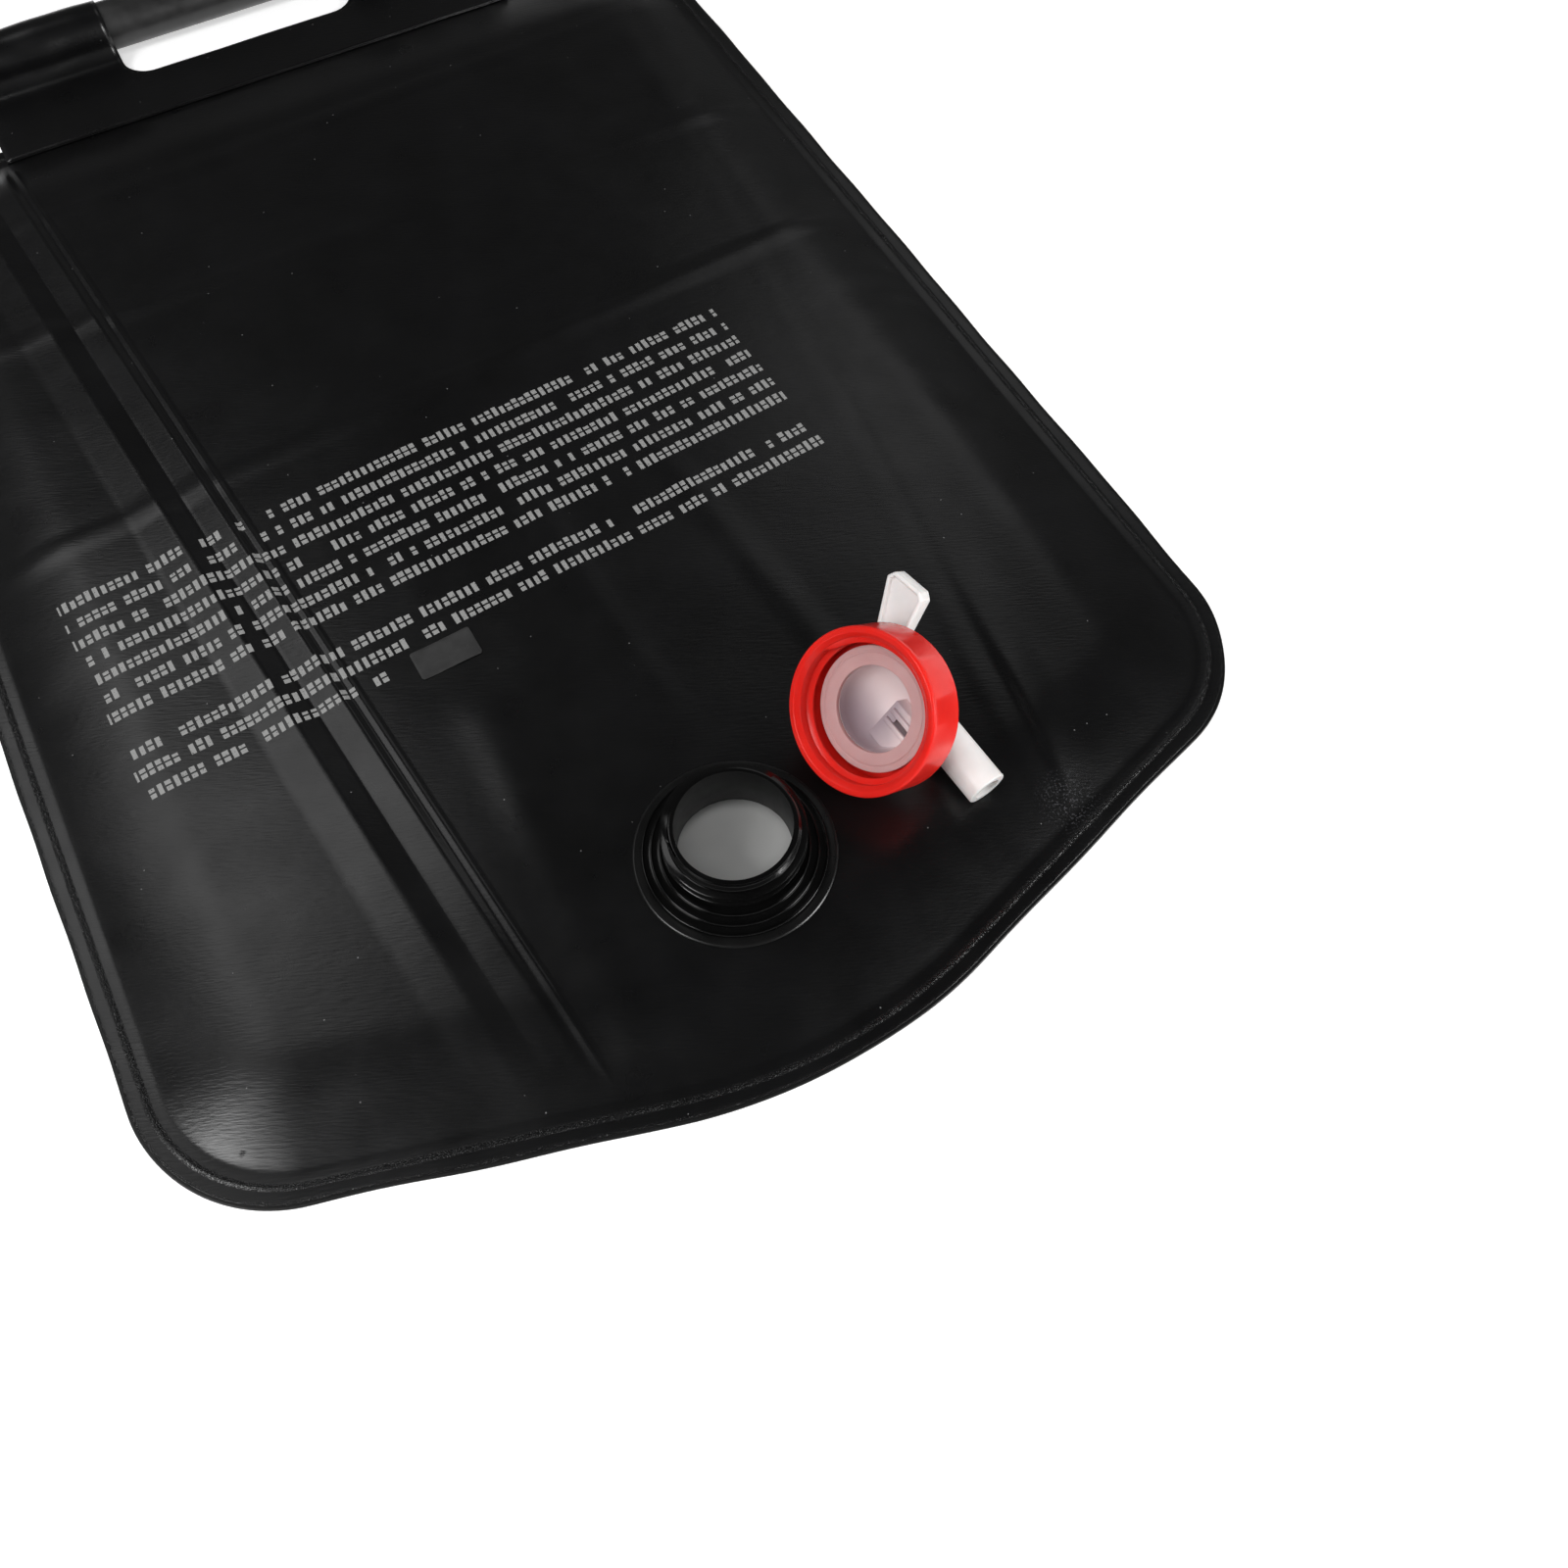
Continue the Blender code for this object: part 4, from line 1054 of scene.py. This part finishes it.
def make_tube():
    half = (tube_high.x - tube_low.x) / 2
    outer = (tube_high.z - tube_low.z) / 2
    bm = lathe([(TUBE_BORE, -half), (TUBE_BORE, half), (outer, half), (outer, half - SHADING_RING),
                (outer, SHADING_RING - half), (outer, -half)], steps=64)
    round_edges(bm, 0.6 * MM, 3, 50)
    place = Matrix.Translation((0.0, TUBE_Y, TUBE_Z)) @ Matrix.Rotation(TURN / 4, 4, "Y")
    return show("carry_tube", bm, "handle", ["handle_tube"], TUBE_BLACK, place)


make_tube()

# %% [markdown]
# ## The red collar and the soft washer
#
# The collar is a turned ring with an inner thread. Its rim has a flat face and a chamfer that
# leads the neck in, and its outside has eight shallow flats for the fingers. The washer is a
# soft ring with a shallow groove and a gate nib. Both are made with the collar's open rim at
# height 0, and go down from there.

# %% The collar
COLLAR_RADIUS, COLLAR_HEIGHT, COLLAR_INNER = 27.4 * MM, 16.3 * MM, 23.7 * MM
COLLAR_HOLE, COLLAR_FLOOR = 16.7 * MM, 13.7 * MM
MOUTH = ((COLLAR_INNER, -1.5 * MM), (25.1 * MM, -0.25 * MM), (25.4 * MM, 0.0))
FLATS_START, FLAT_DROP = 2.3 * MM, 0.07 * MM
FLAT_EVERY, FLAT_DEGREES, FLAT_TURN = 45.0, 17.0, 4.0
COLLAR_THREAD_HEIGHT = -8.8 * MM
COLLAR_RIDGE = ((24.2 * MM, 1.35 * MM), (22.6 * MM, 0.75 * MM), (21.9 * MM, 0.35 * MM))


def press_flats(bm):
    """Draws the outside in a little where the fingers hold it."""
    for vert in bm.verts:
        radius = math.hypot(vert.co.x, vert.co.y)
        turn = (math.degrees(math.atan2(vert.co.y, vert.co.x)) + FLAT_TURN) % FLAT_EVERY
        outside = radius > COLLAR_RADIUS - 0.3 * MM and -vert.co.z > FLATS_START
        if outside and turn < FLAT_DEGREES:
            vert.co.x *= 1.0 - FLAT_DROP / radius
            vert.co.y *= 1.0 - FLAT_DROP / radius


def make_collar():
    profile = [
        (COLLAR_HOLE, -COLLAR_HEIGHT), (COLLAR_HOLE, -COLLAR_FLOOR), (COLLAR_INNER, -COLLAR_FLOOR),
        *MOUTH, (COLLAR_RADIUS - 0.5 * MM, 0.0), (COLLAR_RADIUS, -0.5 * MM),
        (COLLAR_RADIUS, 0.1 * MM - FLATS_START), (COLLAR_RADIUS, -0.1 * MM - FLATS_START),
        (COLLAR_RADIUS, -15.2 * MM), (COLLAR_RADIUS - 0.9 * MM, -COLLAR_HEIGHT)]
    bm = lathe(profile, steps=192)
    round_edges(bm, 0.22 * MM, 2, 25)
    press_flats(bm)
    ridge = thread([(out, COLLAR_THREAD_HEIGHT - up) for out, up in COLLAR_RIDGE]
                   + [(out, COLLAR_THREAD_HEIGHT + up) for out, up in reversed(COLLAR_RIDGE)],
                   1.5, PITCH, 144, 0.06)
    return show("red_collar", joined(bm, [(ridge, "UNION")]), "collar", ["screw_collar"],
                COLLAR_RED, TAP_PLACE)


# %% The washer
WASHER_TOP, WASHER_BOTTOM, WASHER_BORE, WASHER_RADIUS = -8.4 * MM, -10.2 * MM, 14.2 * MM, 20.6 * MM
GROOVE_RADII, GROOVE_DEPTH = (18.1 * MM, 18.4 * MM, 18.8 * MM, 19.1 * MM), 0.25 * MM
NIB_SIZE, NIB_DROP, NIB_TURN = (1.1 * MM, 2.6 * MM, 1.2 * MM), 0.75 * MM, math.radians(40.0)


def make_washer():
    groove = zip(GROOVE_RADII, (0.0, GROOVE_DEPTH, GROOVE_DEPTH, 0.0))
    profile = [(WASHER_BORE, WASHER_BOTTOM), (WASHER_BORE, WASHER_TOP),
               *((radius, WASHER_TOP - drop) for radius, drop in groove),
               (WASHER_RADIUS, WASHER_TOP), (WASHER_RADIUS, WASHER_BOTTOM)]
    bm = round_edges(lathe(profile, steps=128), 0.28 * MM, 3, 60)
    nib = bmesh.new()
    bmesh.ops.create_cube(nib, size=1.0)
    bmesh.ops.scale(nib, vec=NIB_SIZE, verts=nib.verts)
    bmesh.ops.bevel(nib, geom=nib.edges[:], offset=0.25 * MM, segments=2, profile=0.5,
                    affect="EDGES", material=-1)
    place = Vector((WASHER_RADIUS - 0.1 * MM, 0.0, WASHER_TOP - NIB_DROP))
    bmesh.ops.translate(nib, vec=place, verts=nib.verts)
    bmesh.ops.rotate(nib, cent=(0, 0, 0), matrix=Matrix.Rotation(NIB_TURN, 3, "Z"), verts=nib.verts)
    return show("soft_washer", joined(bm, [(nib, "UNION")]), "tap", ["sealing_washer"],
                WASHER_PINK, TAP_PLACE)


make_collar()
make_washer()

# %% [markdown]
# ## The tap's body
#
# One white moulding holds a flange, a round chamber that ends in a shallow dome, a block
# inside it with two ribs beside the port, a barrel across its back and the outlet nozzle. Each
# is turned or bevelled on its own, then joined, and the bore and the port are cut last. The
# bowl's vertices then get their share of painted pink bounce light and of painted shade.

# %% The tap's body
CHAMBER_RADIUS, CHAMBER_BORE = 16.4 * MM, 14.2 * MM
CHAMBER_STRAIGHT, CHAMBER_DEPTH, CHAMBER_WALL = 13.6 * MM, 24.9 * MM, 1.8 * MM
FLANGE_FRONT, FLANGE_BACK = 10.5 * MM, 13.4 * MM
BARREL_RADIUS, BARREL_BORE, NOZZLE_RADIUS, NOZZLE_BORE = 8.0 * MM, 6.0 * MM, 6.9 * MM, 4.6 * MM
NOZZLE_REACH, BARREL_OPEN, BARREL_END = 39.2 * MM, 8.8 * MM, 13.0 * MM
FLANGE_RADIUS, SEAT_END, CUT_OVERRUN = 20.6 * MM, 12.5 * MM, 2 * MM
PLUG_RADIUS = 15.5 * MM  # trims the block inside the bowl's wall
# boxes between two corners in mm: along the nozzle, along the lever, and up towards the rim
BOWL_BLOCK = ((1.2, -11.5, -24.9), (15.0, 4.2, -16.5))
BLOCK_RIBS = (((2.3, -3.7, -18.0), (15.0, -1.9, -15.3)), ((2.3, 0.3, -18.0), (15.0, 2.1, -15.3)))
PORT_SLOT = ((5.5, -1.9, -33.2), (11.5, 0.3, -14.5))
BARREL_WEB = ((-8.2, -5.5, -33.2), (12.4, 5.5, -24.3))
# Shares of painted light: the block's painted shade, then the bowl's least, which is only the
# painted pink bounce light, and its most, where painted shade takes over.
BLOCK_SHADE, BOWL_SHADES = 0.82, (0.25, 0.85)
# The bowl's painted shade grows towards this side.
SHADED_SIDE = Vector((-0.236, -0.972, 0.0))  # the side of the bowl that lies over the black film
CROSSWISE = Matrix.Translation((0, 0, -BARREL_DEPTH)) @ Matrix.Rotation(TURN / 4, 4, "Y")


def dome(radius, depth, steps=16):
    """Quarter of an ellipse from the wall down to the axis."""
    return [(radius * math.cos(TURN / 4 * i / steps) if i < steps else 0.0,
             -CHAMBER_STRAIGHT - depth * math.sin(TURN / 4 * i / steps)) for i in range(steps + 1)]


def block(low, high, width=0.0, segments=3):
    """A box between two corners in mm, its edges rounded."""
    bm = bmesh.new()
    bmesh.ops.create_cube(bm, size=1.0)
    bmesh.ops.scale(bm, vec=(Vector(high) - Vector(low)) * MM, verts=bm.verts)
    bmesh.ops.translate(bm, vec=(Vector(high) + Vector(low)) * MM / 2, verts=bm.verts)
    if width:
        bmesh.ops.bevel(bm, geom=bm.edges[:], offset=width * MM, segments=segments, profile=0.5,
                        affect="EDGES", material=-1)
    return bm


def crosswise(bm):
    bmesh.ops.transform(bm, matrix=CROSSWISE, verts=bm.verts)
    return bm


def bowl_shade(place):
    """How much painted light a point inside the bowl gets, as a share: painted pink bounce light
    over the whole bowl, and painted shade on the block and growing towards the side over the black
    film.
    """
    reach = math.hypot(place.x, place.y)
    if reach > CHAMBER_BORE + 0.1 * MM or place.z > -FLANGE_FRONT:
        return 0.0
    hollow = (CHAMBER_DEPTH - CHAMBER_STRAIGHT - CHAMBER_WALL) * math.sqrt(
        max(0.0, 1.0 - (reach / CHAMBER_BORE) ** 2))
    above = place.z + CHAMBER_STRAIGHT + hollow
    if above < -0.4 * MM:
        return 0.0
    if above > 0.4 * MM and place.x > 1.0 * MM and place.y > -11.6 * MM:
        return BLOCK_SHADE
    aside = SHADED_SIDE.dot(place) / CHAMBER_BORE
    least, most = BOWL_SHADES
    return least + (most - least) * float(smooth(np.array((aside + 0.05) / 1.05)))


def make_tap_body():
    inner = dome(CHAMBER_BORE, CHAMBER_DEPTH - CHAMBER_STRAIGHT - CHAMBER_WALL)
    outer = dome(CHAMBER_RADIUS, CHAMBER_DEPTH - CHAMBER_STRAIGHT)
    shell = lathe(inner[::-1] + [
        (CHAMBER_BORE, -FLANGE_FRONT), (FLANGE_RADIUS, -FLANGE_FRONT), (FLANGE_RADIUS, -FLANGE_BACK),
        (CHAMBER_RADIUS, -FLANGE_BACK)] + outer, steps=128, closed=False)
    round_edges(shell, 0.25 * MM, 2, 50)
    barrel = lathe([
        (0.0, NOZZLE_REACH), (NOZZLE_RADIUS, NOZZLE_REACH),
        (NOZZLE_RADIUS, BARREL_END + 2.2 * MM), (BARREL_RADIUS, BARREL_END),
        (BARREL_RADIUS, -BARREL_OPEN), (0.0, -BARREL_OPEN)], steps=72, closed=False)
    round_edges(barrel, 0.45 * MM, 3, 50)
    plug = [(0.0, -FLANGE_BACK), (PLUG_RADIUS, -FLANGE_BACK)] + dome(
        PLUG_RADIUS, CHAMBER_DEPTH - CHAMBER_STRAIGHT - CHAMBER_WALL / 2)
    inside = joined(block(*BOWL_BLOCK, 0.5), [
        *((block(*rib, 0.45), "UNION") for rib in BLOCK_RIBS),
        (lathe(plug, steps=96, closed=False), "INTERSECT")])
    mouth, open_end = NOZZLE_REACH + CUT_OVERRUN, -BARREL_OPEN - CUT_OVERRUN
    bore = joined(crosswise(lathe([
        (0.0, mouth), (NOZZLE_BORE, mouth), (NOZZLE_BORE, SEAT_END), (BARREL_BORE, SEAT_END),
        (BARREL_BORE, open_end), (0.0, open_end)], steps=72, closed=False)), [
            (block(*PORT_SLOT), "UNION")])
    bm = joined(shell, [
        (crosswise(barrel), "UNION"), (block(*BARREL_WEB, 0.5), "UNION"),
        (inside, "UNION"), (bore, "DIFFERENCE")])
    # Each vertex's share of painted bounce light and painted shade.
    shade = bm.verts.layers.float.new("shade")
    for vert in bm.verts:
        vert[shade] = bowl_shade(vert.co)
    return show("tap_moulding", bm, "tap", ["tap_body"], TAP_WHITE, TAP_PLACE)


make_tap_body()

# %% [markdown]
# ## The key and its lever
#
# The key turns in the barrel and carries the lever outside it, in one piece. The lever is a
# flat paddle that widens to a slanted end with its two corners cut off. A bevel takes the
# sharpness off every edge, and then both faces are inset and sunk in small steps, so that the
# recess has a rounded rim and a soft bottom corner.

# %% The key
HUB_START, HUB_WIDTH, HUB_RADIUS = BARREL_OPEN + 0.3 * MM, 12.2 * MM, 7.4 * MM
KEY_RADIUS, KEY_END, KEY_BORE, KEY_BORE_FLOOR = 5.7 * MM, 12.2 * MM, 3.4 * MM, 7.6 * MM
PORT_RADIUS, PORT_PLACE, PORT_REACH, PORT_TURN = 3 * MM, 8.5 * MM, 8.0 * MM, math.radians(70.0)
LEVER_LENGTH, LEVER_THICKNESS, LEVER_RAKE = 29.7 * MM, 6.0 * MM, math.radians(21.5)
LEVER_ROOT_SHIFT, LEVER_ROOT_HALF = 2.0 * MM, 4.05 * MM
# which side of the lever's middle, its slant, and what its corner loses
LEVER_SIDES = ((-1, math.radians(29.7), 2.9 * MM), (1, math.radians(13.3), 2.1 * MM))
LEVER_END = Vector((math.cos(math.radians(9.1)), math.sin(math.radians(9.1))))
# insets and drops in mm, from the rim to the recess's floor
RECESS_STEPS = ((0.45, 0.0), (0.12, 0.03), (0.10, 0.10), (0.40, 0.90), (0.14, 0.12), (0.2, 0.05))


def lever_outline():
    """The paddle's corners: each side leaves the root at its own slant and loses its corner."""
    def heading(turn):
        return Vector((-math.sin(turn), math.cos(turn)))
    middle = Vector((-HUB_START - HUB_WIDTH / 2 - LEVER_ROOT_SHIFT, 0.0))
    end = middle + heading(LEVER_RAKE) * LEVER_LENGTH
    sides = []
    for way, turn, cut in LEVER_SIDES:
        root, up = middle + Vector((way * LEVER_ROOT_HALF, 0.0)), heading(turn)
        corner = root + up * ((end - root).cross(LEVER_END) / up.cross(LEVER_END))
        sides.append((root, corner - up * cut, corner - LEVER_END * way * cut))
    far, near = sides
    return far[0], near[0], near[1], near[2], far[2], far[1]


def lever_blade():
    bm = bmesh.new()
    corners = [bm.verts.new((*corner, -LEVER_THICKNESS / 2)) for corner in lever_outline()]
    floor = bm.faces.new(corners)
    grown = bmesh.ops.extrude_face_region(bm, geom=[floor], use_keep_orig=True)
    lifted = [item for item in grown["geom"] if isinstance(item, bmesh.types.BMVert)]
    bmesh.ops.translate(bm, vec=(0, 0, LEVER_THICKNESS), verts=lifted)
    bmesh.ops.recalc_face_normals(bm, faces=bm.faces)
    round_edges(bm, 0.55 * MM, 3, 25)
    broad = sorted(bm.faces, key=lambda face: face.calc_area())[-2:]
    for step, drop in RECESS_STEPS:
        bmesh.ops.inset_individual(bm, faces=broad, thickness=step * MM, depth=-drop * MM,
                                   use_even_offset=True)
    bmesh.ops.translate(bm, vec=(0, 0, -BARREL_DEPTH), verts=bm.verts)
    return bm


def key_port():
    """A round hole from the barrel's axis out of one side, over the nozzle's end of the key."""
    bm = bmesh.new()
    bmesh.ops.create_cone(bm, cap_ends=True, segments=40, radius1=PORT_RADIUS,
                          radius2=PORT_RADIUS, depth=PORT_REACH)
    bmesh.ops.translate(bm, vec=(PORT_PLACE, 0.0, PORT_REACH / 2), verts=bm.verts)
    place = Matrix.Translation((0, 0, -BARREL_DEPTH)) @ Matrix.Rotation(PORT_TURN, 4, "X")
    bmesh.ops.transform(bm, matrix=place, verts=bm.verts)
    return bm


def make_key():
    hub = lathe([
        (0.0, -KEY_BORE_FLOOR), (KEY_BORE, -KEY_BORE_FLOOR), (KEY_BORE, KEY_END),
        (KEY_RADIUS, KEY_END), (KEY_RADIUS, -HUB_START), (HUB_RADIUS, -HUB_START),
        (HUB_RADIUS, -HUB_START - HUB_WIDTH), (0.0, -HUB_START - HUB_WIDTH)],
        steps=72, closed=False)
    round_edges(hub, 0.35 * MM, 3, 50)
    bm = joined(crosswise(hub), [(lever_blade(), "UNION"), (key_port(), "DIFFERENCE")])
    return show("lever_key", bm, "key", ["tap_key"], TAP_WHITE, TAP_PLACE)


make_key()

# %% [markdown]
# ## The sheets' areas
#
# The two sheets lie, and the strip is folded. The real area of each sheet's cut, which isn't a
# plain rectangle, is worked out from its outline.

# %% The sheets' areas
def outline_area(inset):
    """Area inside the outline drawn in by inset, from its reach at each turn round the middle."""
    turns = np.linspace(0.0, TURN, 4001)
    reach = np.zeros_like(turns)
    halvings = 0.1 * 0.5 ** np.arange(14)
    for step in (*halvings, *halvings):
        further = reach + step
        gap, _, _ = to_edge(further * np.cos(turns), further * np.sin(turns))
        reach = np.where(gap > inset, further, reach)
    return float(np.sum(reach[:-1] * reach[1:] * np.sin(np.diff(turns))) / 2)


for film, step in ((FRONT_FILM, EDGE_STEP), (BACK_FILM, 0.0)):
    area = outline_area(step)

# %% [markdown]
# ## Ground, light and camera
#
# The ground is a pale flat square that shows white and still takes the bag's shadow. It glows a
# little for the camera, and more with distance, so that it runs into the white behind it.
# Black film is only as good as what it mirrors. Strong soft lamps on the left and the right
# light the mouldings and draw the bright rings, and two weak ones at the far side are placed
# where the slopes of the folds mirror them. A lamp from above fills the neck's bore and isn't
# mirrored, because the slope behind the weld would show it. The camera stands where the
# photograph's did.

# %% Ground and surroundings
GROUND_HALF, GROUND_DROP = 4.0, 0.2 * MM
GLOW_FROM, GLOW_TO, GLOW_NEAR, GLOW_FAR = 0.4, 1.3, 0.42, 1.05  # distances, then strengths
SKY_RISE = (0.10, 0.98, 0.24, 0.02)  # from a low and to a high direction, then their strengths
SKY_MIRRORED = 0.45  # share of the sky's light that reflections show


def make_ground():
    bm = bmesh.new()
    bmesh.ops.create_grid(bm, x_segments=1, y_segments=1, size=GROUND_HALF)
    bmesh.ops.translate(bm, vec=(0, 0, -GROUND_DROP), verts=bm.verts)
    mesh = bpy.data.meshes.new("ground")
    bm.to_mesh(mesh)
    bm.free()
    obj = bpy.data.objects.new("ground", mesh)
    bpy.context.scene.collection.objects.link(obj)
    made = Finish("pale_ground", 0.9, Base_Color=(0.82, 0.82, 0.82, 1.0))
    nodes, links = made.nodes, made.links
    glow = nodes.new("ShaderNodeEmission")
    away = nodes.new("ShaderNodeVectorMath")
    away.operation = "LENGTH"
    links.new(made.place, away.inputs[0])
    links.new(made.ramp(away.outputs["Value"], GLOW_FROM, GLOW_TO, GLOW_NEAR, GLOW_FAR),
              glow.inputs["Strength"])
    both = nodes.new("ShaderNodeAddShader")
    links.new(made.shader.outputs[0], both.inputs[0])
    links.new(glow.outputs[0], both.inputs[1])
    path = nodes.new("ShaderNodeLightPath")
    seen = made.math("MAXIMUM", path.outputs["Is Camera Ray"], made.math(
        "MAXIMUM", path.outputs["Is Glossy Ray"], path.outputs["Is Transmission Ray"]))
    pick = nodes.new("ShaderNodeMixShader")
    links.new(seen, pick.inputs[0])
    links.new(made.shader.outputs[0], pick.inputs[1])
    links.new(both.outputs[0], pick.inputs[2])
    links.new(pick.outputs[0], nodes["Material Output"].inputs["Surface"])
    obj.data.materials.append(made.material)


def make_surroundings():
    world = bpy.data.worlds.new("surroundings")
    bpy.context.scene.world = world
    world.use_nodes = True
    nodes, links = world.node_tree.nodes, world.node_tree.links
    sky = nodes["Background"]
    sky.inputs["Color"].default_value = (1.0, 1.0, 1.0, 1.0)
    way = nodes.new("ShaderNodeTexCoord")
    split = nodes.new("ShaderNodeSeparateXYZ")
    links.new(way.outputs["Generated"], split.inputs[0])
    rise = nodes.new("ShaderNodeMapRange")
    for key, value in zip(("From Min", "From Max", "To Min", "To Max"), SKY_RISE):
        rise.inputs[key].default_value = value
    links.new(split.outputs[2], rise.inputs["Value"])
    path = nodes.new("ShaderNodeLightPath")
    steps = []
    for operation in ("MULTIPLY_ADD", "MULTIPLY", "MAXIMUM"):
        steps.append(nodes.new("ShaderNodeMath"))
        steps[-1].operation = operation
    dimmed, level, seen = steps
    links.new(path.outputs["Is Glossy Ray"], dimmed.inputs[0])
    dimmed.inputs[1].default_value = SKY_MIRRORED - 1.0
    dimmed.inputs[2].default_value = 1.0
    links.new(dimmed.outputs[0], level.inputs[0])
    links.new(rise.outputs["Result"], level.inputs[1])
    links.new(path.outputs["Is Camera Ray"], seen.inputs[0])
    links.new(level.outputs[0], seen.inputs[1])
    links.new(seen.outputs[0], sky.inputs["Strength"])


# %% Lamps
LAMP_DISTANCE, LAMP_SIZE, LAMP_TARGET = 1.5, 0.6, Vector((0.0, NECK_Y * 0.6, 0.0))


def lamp(name, direction, power, mirrored=True):
    """A square soft lamp that looks at the bag's lower half from a direction."""
    data = bpy.data.lights.new(name, "AREA")
    data.size = LAMP_SIZE
    data.energy = power
    obj = bpy.data.objects.new(name, data)
    obj.visible_glossy = mirrored
    bpy.context.scene.collection.objects.link(obj)
    way = Vector(direction).normalized()
    obj.matrix_world = (Matrix.Translation(LAMP_TARGET + way * LAMP_DISTANCE)
                        @ way.to_track_quat("Z", "Y").to_matrix().to_4x4())


make_ground()
make_surroundings()
lamp("left_lamp", (-0.736, -0.103, 0.669), 12.0)
lamp("right_lamp", (0.573, -0.683, 0.454), 16.5)
lamp("top_lamp", (-0.166, -0.299, 0.940), 6.0, mirrored=False)
lamp("back_lamp", (-0.353, 0.504, 0.788), 2.2)
lamp("far_lamp", (0.525, 0.525, 0.669), 0.7)

# %% The camera
EYE = Vector((-0.0791, NECK_Y - 0.1733, 0.4172))
RIGHT, UP = Vector((0.872, -0.489, 0.0)).normalized(), Vector((0.433, 0.772, 0.465))
BACK = RIGHT.cross(UP).normalized()
FOCAL_PIXELS, FRAME_PIXELS = 1417, 1600
lens = bpy.data.cameras.new("photo_camera")
lens.sensor_width = 36.0
lens.lens = lens.sensor_width * FOCAL_PIXELS / FRAME_PIXELS
lens.clip_start = 10 * MM
camera = bpy.data.objects.new("photo_camera", lens)
bpy.context.scene.collection.objects.link(camera)
camera.matrix_world = (Matrix.Translation(EYE)
                       @ Matrix((RIGHT, BACK.cross(RIGHT), BACK)).transposed().to_4x4())
bpy.context.scene.camera = camera
bpy.context.scene.view_settings.view_transform = "Standard"
print("camera", [round(v, 4) for v in EYE], "lens", round(lens.lens, 2), "mm")
